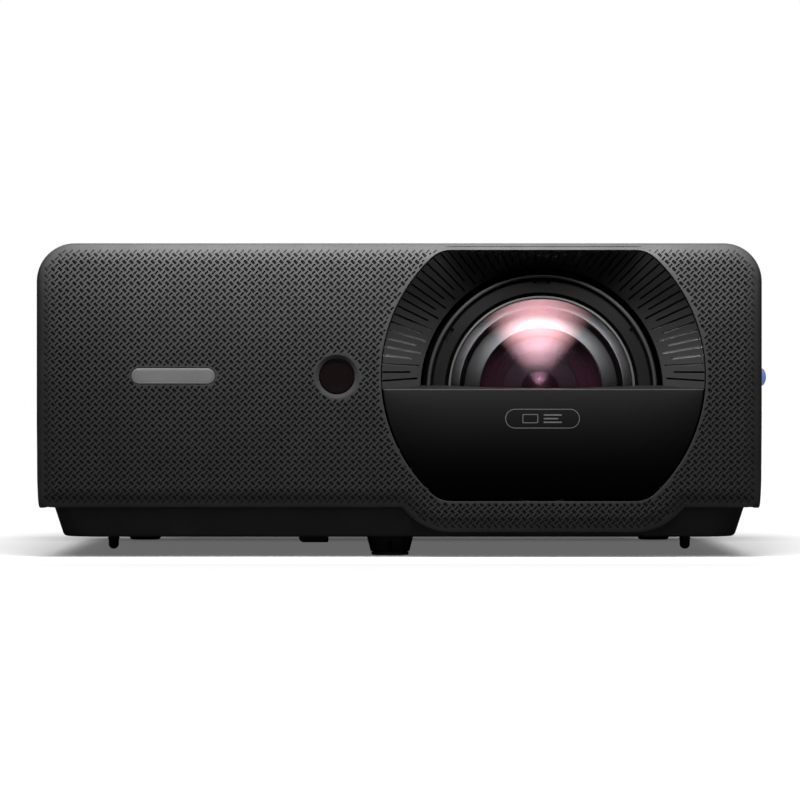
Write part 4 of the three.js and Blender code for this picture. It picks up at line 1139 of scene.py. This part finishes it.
def make_grille(name, node, side):
    y0, y1, z0, z1, frame_width, louvres = -54.7, 119.7, 50.3, 139.7, 4, 11
    face = side * (HALF - 0.2)
    b = Builder("base")
    opening = rounded_rect(y0 + frame_width, z0 + frame_width, y1 - frame_width, z1 - frame_width, 1.5, 4)
    plate(b, rounded_rect(y0, z0, y1, z1, 0.8, 4), [opening], face, face - side * 4, 0.5, on_x)
    pitch = (z1 - z0 - 2 * frame_width) / louvres
    for k in range(1, louvres):
        z = z0 + frame_width + pitch * k
        slat = [(0.5, z - 1.9), (1.6, z - 1.9), (3.7, z + 0.9), (3.7, z + 1.9), (2.6, z + 1.9),
                (0.5, z - 0.9)]
        section = softened(slat, 0.4)
        b.bridge([[(face - side * d, y, h) for d, h in section] for y in (y0 + 2, y1 - 2)], ends=True)
    for t in (1 / 3, 2 / 3):
        y = y0 + (y1 - y0) * t
        post = softened([(1.4, y - 1), (3.8, y - 1), (3.8, y + 1), (1.4, y + 1)], 0.3)
        b.bridge([[(face - side * d, p, z) for d, p in post] for z in (z0 + 2, z1 - 2)], ends=True)
    b.make(name, replaces=node, slot="base")


# ---- Keypad ----
def make_keypad():
    y0, y1, z0, z1 = FRONT + 12.8, FRONT + 42.2, 60.3, 151.7
    middle, nav_z, step = (y0 + y1) / 2, 134, 10
    keys = [("up_key", middle, nav_z + step, 2.8), ("down_key", middle, nav_z - step, 2.8),
            ("left_key", middle - step, nav_z, 2.8), ("right_key", middle + step, nav_z, 2.8),
            ("ok_key", middle, nav_z, 4.2), ("menu_key", middle, 78, 3.6)]
    power = (POWER_Y, POWER_Z)
    face = HALF - 0.2
    # The plate shares the bezel's material, with its painted light, darker towards the top.
    b = Builder("bezel", "icon")
    holes = [circle(y, z, r + 0.3, 40) for _, y, z, r in keys] + [circle(*power, POWER_R + 0.3, 48)]
    plate(b, rounded_rect(y0, z0, y1, z1, 1.2, 6), holes, face, face - 2, 0.25, on_x)
    # A thin printed circle round the arrow keys, and one round the power key.
    for cy, cz, r in ((middle, nav_z, 14.0), (*power, 7.6)):
        edges = [(face + d, r + wide) for d, wide in ((0, 0), (0.03, 0), (0.03, 0.3), (0, 0.3))]
        b.bridge([[(x, y, z) for y, z in circle(cy, cz, radius, 72)] for x, radius in edges], 1)
    b.make("keypad_plate", replaces="control_panel", slot="bezel", closed=False)

    arrows = {"up_key": 90, "down_key": 270, "left_key": 180, "right_key": 0}
    for name, y, z, r in keys:
        b = Builder("key", "icon")
        crown = [(r * math.cos(t), 0.05 + 0.35 * math.sin(t)) for t in np.linspace(0, math.pi / 2, 6)]
        profile = [(0, -4), (r + 0.9, -4), (r + 0.9, -2.5), (r, -2.5), *crown[:-1], (r * 0.25, 0.4), (0, 0.4)]
        lathe(b, profile, (HALF, y, z), "X", 48, soft=0)
        lifts = (0,)
        if name in arrows:
            turn = math.radians(arrows[name])
            mark = [(1.1 * math.cos(turn + a), 1.1 * math.sin(turn + a)) for a in (0, 2.2, -2.2)]
        elif name == "ok_key":
            mark = circle(0, 0, 1.1, 24)
        else:
            mark, lifts = [(-1.3, -0.25), (1.3, -0.25), (1.3, 0.25), (-1.3, 0.25)], (-0.9, 0, 0.9)
        for lift in lifts:
            b.bridge([[(HALF + d, y + p, z + q + lift) for p, q in mark] for d in (0.2, 0.4)], 1, ends=True)
        b.make(name + "_cap", name, name, "key", closed=False)

    swell = POWER_PROUD - 0.4
    dome = [(POWER_R * math.cos(t), 0.4 + swell * math.sin(t)) for t in np.linspace(0, math.pi / 2, 12)]
    flange = [(0, -4.5), (POWER_R + 1, -4.5), (POWER_R + 1, -2.5), (POWER_R, -2.5)]
    turned("power_key_dome", "lit", [*flange, *dome], (HALF, *power), "power_key", "power_key", "lit_key",
           axis="X", segments=64, soft=0)


# ---- Rear panel and sockets ----
PORT_Z = 66
BACK = REAR - 4.5
PORTS = [("hdmi_port_1", -40, 15, 6.4), ("hdmi_port_2", -14, 15, 6.4), ("usb_port", 12, 13.6, 7.2),
         ("lan_port", 42, 16, 13.6), ("serial_port", 82, 31, 12.5), ("audio_jack", 118, 9, 9)]
INLET = (-160, 72)
REAR_SCREWS = [(-190, 45), (190, 45), (-188, 160), (188, 160)]


def make_rear():
    b = Builder("base", "icon")
    holes = [centred(x, PORT_Z, w / 2 + 0.3, h / 2 + 0.3, 0.5, 3) for _, x, w, h in PORTS]
    holes.append(centred(*INLET, 14.3, 10.3, 1, 4))
    holes += [circle(x, z, 1.9, 24) for x, z in REAR_SCREWS]
    holes.append(rounded_rect(166, 44, 173, 47.2, 1.2, 4))
    holes += [rounded_rect(-126 + 23 * k, 112, -108 + 23 * k, 150, 1.5, 4) for k in range(11)]
    plate(b, case_outline(WALL + 0.4, SKIRT + 3.2), holes, BACK, BACK - WALL, 0.35)
    for _, x, w, _ in PORTS:  # plain bars printed under the sockets
        bar = rounded_rect(x - w / 2, 55.2, x + w / 2, 55.9, 0.3, 3)
        b.bridge([behind(bar, d, BACK) for d in (0, 0.04)], 1, ends=True)
    b.make("rear_plate", replaces="rear_panel", slot="base", closed=False)

    def cross(r, h, turn):
        """A cross-shaped recess in a screw's head."""
        off = min(abs(math.cos(turn)), abs(math.sin(turn))) * max(r, 0.1)
        return (r, h - 0.9) if r < 1.9 and h > 1.2 and off < 0.42 else (r, h)

    head = [(0, -6), (1.5, -6), (1.5, 0.3), (3.4, 0.3), (3.4, 0.7), (3.1, 1.4), (2.5, 1.8), (1.92, 2.0),
            (1.85, 2.0), (0.9, 2.1), (0, 2.1)]
    for k, (x, z) in enumerate(REAR_SCREWS):
        turned(f"rear_screw_head_{k + 1}", "steel", head, (x, BACK, z), "housing", f"rear_screw_{k + 1}",
               "steel", 35, segments=48, soft=0, tick=cross)


def divided(cx, cz, corners, counts):
    """A loop about a middle, with each of its sides divided into a number of steps."""
    ahead = corners[1:] + corners[:1]
    sides = [spread(*ends) for ends in zip(corners, ahead, counts)]
    return [(cx + x, cz + z) for side in sides for x, z in side]


def shell(b, x, width, height, depth, wall=0.5, mouth=None):
    """A socket's sheet-metal shell, open towards the rear, with a rolled lip."""
    outer = centred(x, PORT_Z, width / 2, height / 2, 0.6, 4)
    inner = mouth or offset(outer, wall)
    flare = offset(inner, -wall * 0.4)
    levels = ((outer, 1 - depth), (outer, 0.4), (offset(outer, 0.12), 0.6), (flare, 0.6), (inner, -0.1),
              (inner, 2 - depth))
    b.bridge([behind(ring, d, BACK) for ring, d in levels])
    b.face(behind(outer, 1 - depth, BACK))
    b.face(behind(inner, 2 - depth, BACK))


def block(b, x, y, z, slot, soft=0.15):
    """A small block with rounded edges along Y. x, y and z hold its two ends, with y from the rear face."""
    r = min(soft, (x[1] - x[0]) * 0.4, (z[1] - z[0]) * 0.4)
    loop = rounded_rect(x[0], z[0], x[1], z[1], r, 2)
    small = offset(loop, r * 0.8)
    ends = ((small, y[0]), (loop, y[0] + r), (loop, y[1] - r), (small, y[1]))
    b.bridge([behind(ring, d, BACK) for ring, d in ends], slot, ends=True)


def contacts(b, x, count, pitch, width, y, low, high):
    """A row of flat gold contacts, centred on x, with heights counted from the ports' middle."""
    for k in range(count):
        left = x + (k - (count - 1) / 2) * pitch - width / 2
        block(b, (left, left + width), y, (PORT_Z + low, PORT_Z + high), 2, 0.05)


def hdmi(x, width, height):
    b = Builder("nickel", "black", "gold")
    mouth = [(-6.9, 2.2), (-6.9, -0.6), (-5.5, -2.1), (5.5, -2.1), (6.9, -0.6), (6.9, 2.2)]
    shell(b, x, width, height, 12, mouth=divided(x, PORT_Z, mouth, (3, 3, 4, 3, 3, 4)))
    block(b, (x - 5.6, x + 5.6), (-10, -0.8), (PORT_Z - 0.3, PORT_Z + 0.5), 1)
    contacts(b, x + 0.05, 9, 1.1, 0.5, (-9, -1), -0.45, -0.28)
    return b


def usb(x, width, height):
    b = Builder("nickel", "blue", "gold")
    shell(b, x, width, height, 15, 0.7)
    block(b, (x - 5.4, x + 5.4), (-12, -0.8), (PORT_Z + 0.3, PORT_Z + 1.9), 1)
    contacts(b, x, 4, 2.4, 1, (-11, -1.4), 0.15, 0.32)
    return b


def lan(x, width, height):
    b = Builder("nickel", "black", "gold", "lit")
    mouth = [(-5.9, -4.6), (-3, -4.6), (-3, -5.6), (3, -5.6), (3, -4.6), (5.9, -4.6), (5.9, 3.4), (-5.9, 3.4)]
    shell(b, x, width, height, 18, mouth=divided(x, PORT_Z, mouth, (2, 2, 4, 2, 2, 3, 2, 3)))
    contacts(b, x - 0.005, 8, 1.02, 0.45, (-13, -2), 2.6, 3.2)
    for lamp_x in (x - 5.2, x + 5.2):
        block(b, (lamp_x - 1.2, lamp_x + 1.2), (-1, 0.75), (PORT_Z + 4.2, PORT_Z + 5.6), 3)
    return b


def serial(x, width, height):
    b = Builder("nickel", "black", "gold", "steel")
    plate(b, centred(x, PORT_Z, width / 2, height / 2, 1.5, 5), [], BACK + 0.5, BACK - 0.5, 0.2)
    dee = divided(x, PORT_Z, [(-8.2, 3.9), (-7.2, -3.9), (7.2, -3.9), (8.2, 3.9)], [4] * 4)
    small = offset(dee, 0.5)
    b.bridge([behind(ring, d, BACK) for ring, d in ((dee, -8), (dee, 0.6), (small, 0.6), (small, 0.55))])
    block(b, (x - 6.9, x + 6.9), (-1, 0.56), (PORT_Z - 3.1, PORT_Z + 3.2), 1, 0.6)
    pin = [(0, -1), (0.55, -1), (0.55, 0.6), (0.25, 0.6), (0, 0.57)]
    for row, count in ((1.4, 5), (-1.4, 4)):
        for k in range(count):
            at = (x + (k - (count - 1) / 2) * 2.8, BACK, PORT_Z + row)
            lathe(b, pin, at, segments=12, slot=2, soft=0)
    for side in (-1, 1):
        nut = [(1.4, 0), (2.6, 0), (2.6, 0.5), (2.3, 0.6), (1.4, 0.6)]
        lathe(b, nut, (x + side * 12.2, BACK, PORT_Z), segments=6, slot=3, soft=0)
    return b


def audio(x, width, height):
    b = Builder("black", "nickel")
    face = centred(x, PORT_Z, width / 2, height / 2, 0.8, 4)
    plate(b, face, [circle(x, PORT_Z, 3.4, 32)], BACK + 0.5, BACK - 6, 0.25)
    sleeve = [(1.8, -11), (3.3, -11), (3.3, 0.3), (3.0, 0.6), (2.0, 0.6), (1.8, 0.3)]
    lathe(b, sleeve, (x, BACK, PORT_Z), segments=40, slot=1, soft=0.1)
    return b


def mains(x, z):
    b = Builder("black", "nickel")
    mouth = [(-11.8, -7.9), (11.8, -7.9), (11.8, 4), (7.9, 7.9), (-7.9, 7.9), (-11.8, 4)]
    mouth = divided(x, z, mouth, [4] * 6)
    plate(b, centred(x, z, 17, 12, 1.6, 5), [mouth], BACK + 2.2, BACK + 0.3, 0.3)
    b.bridge([behind(mouth, d, BACK) for d in (0.6, -15)])
    b.face(behind(mouth, -15, BACK))
    b.bridge([behind(centred(x, z, 14, 10, 1, 5), d, BACK) for d in (0.4, -23)], ends=True)
    for px, pz in ((x - 7, z - 1.5), (x + 7, z - 1.5), (x, z + 3)):
        block(b, (px - 1, px + 1), (-15.5, -4.5), (pz - 2, pz + 2), 1, 0.4)
    return b


def make_sockets():
    for maker, (name, *sizes) in zip((hdmi, hdmi, usb, lan, serial, audio), PORTS):
        slot = "port_body" if maker is audio else "port_metal"
        maker(*sizes).make(name + "_socket", replaces=name, slot=slot, closed=False)
    mains(*INLET).make("mains_inlet", replaces="power_inlet", slot="port_body", closed=False)


# ---- Feet ----
def make_feet():
    def grip(r, h, turn):
        """Eight finger grooves in the foot's knob."""
        off = abs((turn + math.pi / 8) % (math.pi / 4) - math.pi / 8) * 12.4
        return (r - 1.5 * (1 - (off / 0.95) ** 2), h) if off < 0.95 and r > 10.8 and 2.3 < h < 9.6 else (r, h)

    knob = [(0, 2.1), (11.0, 2.1), (11.4, 2.4), (11.6, 2.9), (12.2, 5.4), (12.8, 7.6), (13.3, 9.5),
            (13.4, 10.4), (13.1, 11.0), (4.1, 11.1)]
    thread = [(3.55 if k % 2 else 4.1, 12 + 1.5 * k) for k in range(21)]
    screw = [*knob, *thread, (3.2, 43.8), (0, 44)]
    turned("foot_knob", "base", screw, (FOOT_X, FOOT_Y, 0), "front_foot_screw", "front_foot_screw", "base",
           40, axis="Z", segments=192, soft=0, tick=grip)

    ribs = [(0, 0.35), (3.0, 0.35), (3.3, 0.0), (5.2, 0.0), (5.5, 0.35), (7.4, 0.35), (7.7, 0.0), (10.4, 0.0)]
    pad = [*ribs, (10.9, 0.5), (10.9, 1.4), (10.5, 1.8), (2.4, 1.8), (2.4, 5.8), (0, 5.8)]
    turned("foot_pad", "rubber", pad, (FOOT_X, FOOT_Y, 0), "front_foot_pad", "front_foot_pad", "rubber",
           axis="Z", segments=72, soft=0)

    tip = [(3.0 * math.sin(t), 6.3 - 2.8 * math.cos(t)) for t in np.linspace(0, math.pi / 2, 8)]
    peg = [*tip, (3.0, 9.0), (3.4, 9.2), (3.4, 10.2), (3.0, 10.4), (3.0, 11.1), (0, 11.1)]
    ribs = [(0, 0.4), (2.6, 0.4), (2.9, 0), (5.0, 0), (5.3, 0.4), (7.0, 0.4), (7.3, 0), (8.8, 0)]
    foot = [*ribs, (9.6, 0.5), (10.2, 2), (10.9, 10.4), (10.7, 11.0), (0, 11.1)]
    for name, side in (("left", -1), ("right", 1)):
        turned(f"{name}_peg_turned", "base", peg, (side * 167, FOOT_Y, 0), replaces=f"{name}_peg",
               slot="rubber", axis="Z", segments=40, soft=0)
        turned(f"{name}_rear_foot_moulded", "rubber", foot, (side * 165, 140, 0),
               replaces=f"{name}_rear_foot", slot="rubber", axis="Z", segments=64, soft=0)

    b = Builder("base")
    x, z = -50.2, BASE - 4
    swept = curve_through((x - 8.5, z + 3.7), (x - 8.4, z), (x - 5.2, z), 6)
    section = [*swept, (x + 8.3, z), (x + 8.5, z + 0.2), (x + 8.5, z + 3.7)]
    small = offset(section, 0.25)
    levels = ((small, 40), (section, 40.3), (section, 61.7), (small, 62))
    b.bridge([behind(ring, d) for ring, d in levels], ends=True)
    b.make("latch_tab", replaces="underside_tab", slot="base")


# ---- Fans, and the insides that the grilles show ----
def make_fan(prefix, suffix, size, x, z, y):
    """A square fan frame with a hub and struts, and an impeller with seven twisted blades."""
    half, bore = size / 2, size / 2 - 2
    centre = (x, y, z)
    b = Builder("fan")
    holes = [circle(y, z, bore, 64)]
    holes += [circle(y + sy * (half - 5), z + sz * (half - 5), 2, 16) for sy in (-1, 1) for sz in (-1, 1)]
    for at in (x, x + 21):
        plate(b, centred(y, z, half, half, 4, 6), holes, at, at + 4, 0.4, on_x)
    lathe(b, [(bore, 0), (bore + 1.6, 0), (bore + 1.6, 25), (bore, 25)], centre, "X", 64)
    lathe(b, [(0, 19.6), (15, 19.6), (15, 24), (0, 24)], centre, "X", 48)
    for k in range(3):
        a = 2 * math.pi * k / 3 + math.pi / 2
        ca, sa = math.cos(a), math.sin(a)
        section = ((-1.5, 20), (1.5, 20), (1.5, 24), (-1.5, 24))
        b.bridge([[(x + h, y + ca * r - sa * w, z + sa * r + ca * w) for w, h in section]
                  for r in (12, bore + 1)], ends=True)
    b.make(f"{prefix}_frame{suffix}_moulded", replaces=f"{prefix}_frame{suffix}", slot="fan")

    rotor = prefix.replace("_fan", "_impeller") + suffix
    b = Builder("fan")
    lathe(b, [(0, 2.2), (14.5, 2.2), (15.8, 3.2), (16, 5), (16, 19), (0, 19)], centre, "X", 56, soft=0.4)
    # A blade's section, as its place along the chord from -1 to 1 and how thick it is to that side.
    blade = ((-1, 0.35), (-0.4, 0.75), (0.3, 0.8), (1, 0.35), (1, -0.35), (0.3, -0.4), (-0.4, -0.4),
             (-1, -0.35))
    for k in range(7):
        rows = []
        for t in np.linspace(0, 1, 9):
            r = 15 + (bore - 1.2 - 15) * t
            twist, width = math.radians(52 - 26 * t), 15 - 1.5 * t
            ring = []
            for s, thick in blade:
                chord, rise = s * width * 0.525, thick + 1.3 * (1 - s * s)
                turn = 2 * math.pi * k / 7 + (chord * math.cos(twist) + rise * math.sin(twist)) / r + 0.25 * t
                height = 10.6 + chord * math.sin(twist) - rise * math.cos(twist)
                ring.append((x + height, y + r * math.cos(turn), z + r * math.sin(turn)))
            rows.append(ring)
        b.bridge(rows, ends=True)
    b.make(f"{rotor}_bladed", rotor, rotor, "fan", angle=45)


def dress_insides():
    """CAD nodes whose shapes stand as they are take a finished material."""
    finish = {"cast": ("lens_mount", "optical_engine", "dmd_heatsink", "laser_module", "laser_heatsink"),
              "steel": ("wheel_motor",), "phosphor": ("phosphor_wheel",),
              "board": ("main_board", "power_supply"), "black": ("speaker",)}
    for key, nodes in finish.items():
        for node in nodes:
            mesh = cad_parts[node].data
            mesh.materials.clear()
            mesh.materials.append(MATERIALS[key])


# ---- Studio, in metres ----
def make_floor():
    """A floor that is white to the camera, dark in reflections and pale grey in the light it sends back."""
    rear = REAR * MM
    n = material("studio_floor")
    path = n.node("LightPath").outputs
    seen = path["Is Camera Ray"]
    # A soft contact shade along the floor behind the rear edge.
    shade = n.mapped(n.axis("Y"), rear + 0.13, rear, 0, 0.9)
    shade = n.math(shade, n.mapped(n.math(n.axis("X"), 0, "ABSOLUTE"), 0.27, 0.14, 0, 1), "MULTIPLY")
    shade = n.math(shade, n.mapped(n.axis("Y"), rear - 0.09, rear, 0, 1), "MULTIPLY")
    pale = n.mixed(shade, n.mixed(n.noise(3, 2), grey(0.46), grey(0.48)), grey(0.03))
    own_light = n.math(seen, n.mapped(shade, 0, 1, 0.13, 0.03), "MULTIPLY")
    unseen = n.mixed(path["Is Glossy Ray"], grey(0.45), grey(0.04))
    n.set(Base_Color=n.mixed(seen, unseen, pale), Roughness=0.9, Specular_IOR_Level=0.0,
          Emission_Color=(1, 1, 1, 1), Emission_Strength=own_light)
    mesh = bpy.data.meshes.new("studio_floor")
    mesh.from_pydata([(-60, -60, 0), (60, -60, 0), (60, 60, 0), (-60, 60, 0)], [], [(0, 1, 2, 3)])
    mesh.materials.append(n.owner)
    floor = bpy.data.objects.new("studio_floor", mesh)
    bpy.context.scene.collection.objects.link(floor)


def make_world():
    """A dark studio with pale side walls and a soft light above the front, but plain white to the camera."""
    n = Nodes(bpy.data.worlds.new("studio"))
    x, y, z = n.node("SeparateXYZ", {0: n.where.node.outputs["Generated"]}).outputs
    path = n.node("LightPath").outputs
    side = n.math(x, 0, "ABSOLUTE")
    shine = n.mapped(path["Is Glossy Ray"], 0, 1, 1.0, 0.1)  # polished surfaces see a darker room
    room = n.math(n.mapped(z, -0.1, 1.0, 0.026, 0.245), shine, "MULTIPLY")
    walls = n.math(n.math(n.math(side, 6.0, "POWER"), 0.1, "MULTIPLY"), shine, "MULTIPLY")
    # The soft light is a wedge over the front, with a level for each slope from straight up to straight ahead.
    aside = n.math(side, n.math(z, 0.02, "MAXIMUM"), "DIVIDE")
    narrow = n.mapped(aside, 0.0, 0.87, 1.0, 0.0, interpolation_type="SMOOTHSTEP")
    profile = n.node("ValToRGB", {0: n.math(y, -1.0, "MULTIPLY")})
    profile.color_ramp.interpolation = "EASE"
    stops = [(0.0, 0.3), (0.3, 0.45), (0.57, 0.45), (0.72, 0.38), (0.8, 0.5), (0.85, 1.0), (0.88, 0.9),
             (0.93, 0.42), (0.962, 0.24), (0.99, 0.0)]
    for k, (at, level) in enumerate(stops):
        stop = profile.color_ramp.elements[k] if k < 2 else profile.color_ramp.elements.new(at)
        stop.position, stop.color = at, (level, level, level, 1)
    glow = n.math(n.math(narrow, profile.outputs[0], "MULTIPLY"), 7.0, "MULTIPLY")
    lit = n.math(n.math(room, walls, "ADD"), glow, "ADD")
    background = n.tree.nodes["Background"].inputs
    n.give(background["Strength"], n.node("Mix", {0: path["Is Camera Ray"], 2: lit, 3: 1.0}).outputs[0])
    n.give(background["Color"], (1, 1, 1, 1))
    bpy.context.scene.world = n.owner


def lamp(name, kind, where, aim, **settings):
    light = bpy.data.lights.new(name, kind)
    for key, value in settings.items():
        setattr(light, key, value)
    made = bpy.data.objects.new(name, light)
    made.location = where
    made.rotation_euler = (Vector(aim) - Vector(where)).to_track_quat("-Z", "Y").to_euler()
    made.visible_camera = made.visible_glossy = made.visible_transmission = False
    bpy.context.scene.collection.objects.link(made)


def make_studio():
    scene = bpy.context.scene
    camera = bpy.data.objects.new("camera", bpy.data.cameras.new("camera"))
    camera.location = (MIDDLE_X + 0.43 * MM, (FRONT - 2400) * MM, 0.0905)
    camera.rotation_euler = (math.pi / 2, 0, 0)
    camera.data.sensor_width = 36
    camera.data.lens = 188.07
    camera.data.clip_end = 60
    scene.collection.objects.link(camera)
    scene.camera = camera
    make_floor()
    make_world()
    front = FRONT * MM
    lamp("overhead", "SUN", (0, 0, 1), (0, 0, 0), energy=2.4, angle=math.radians(66))
    lamp("top_strip", "AREA", (0, front - 0.05, 0.222), (0, front, 0.212), shape="RECTANGLE", size=0.42,
         size_y=0.03, energy=4.9)
    scene.view_settings.view_transform = "Standard"


make_front_panel()
make_window_and_badge()
make_bezel()
make_shroud()
make_lens()
make_case()
make_base()
make_grille("left_louvred_grille", "left_grille", -1)
make_grille("right_louvred_grille", "right_grille", 1)
make_keypad()
make_rear()
make_sockets()
make_feet()
make_fan("intake_fan", "", 92, -HALF + 7, 95, 17)
make_fan("exhaust_fan", "_1", 80, HALF - 32, 95, -10)
make_fan("exhaust_fan", "_2", 80, HALF - 32, 95, 74)
dress_insides()
make_studio()
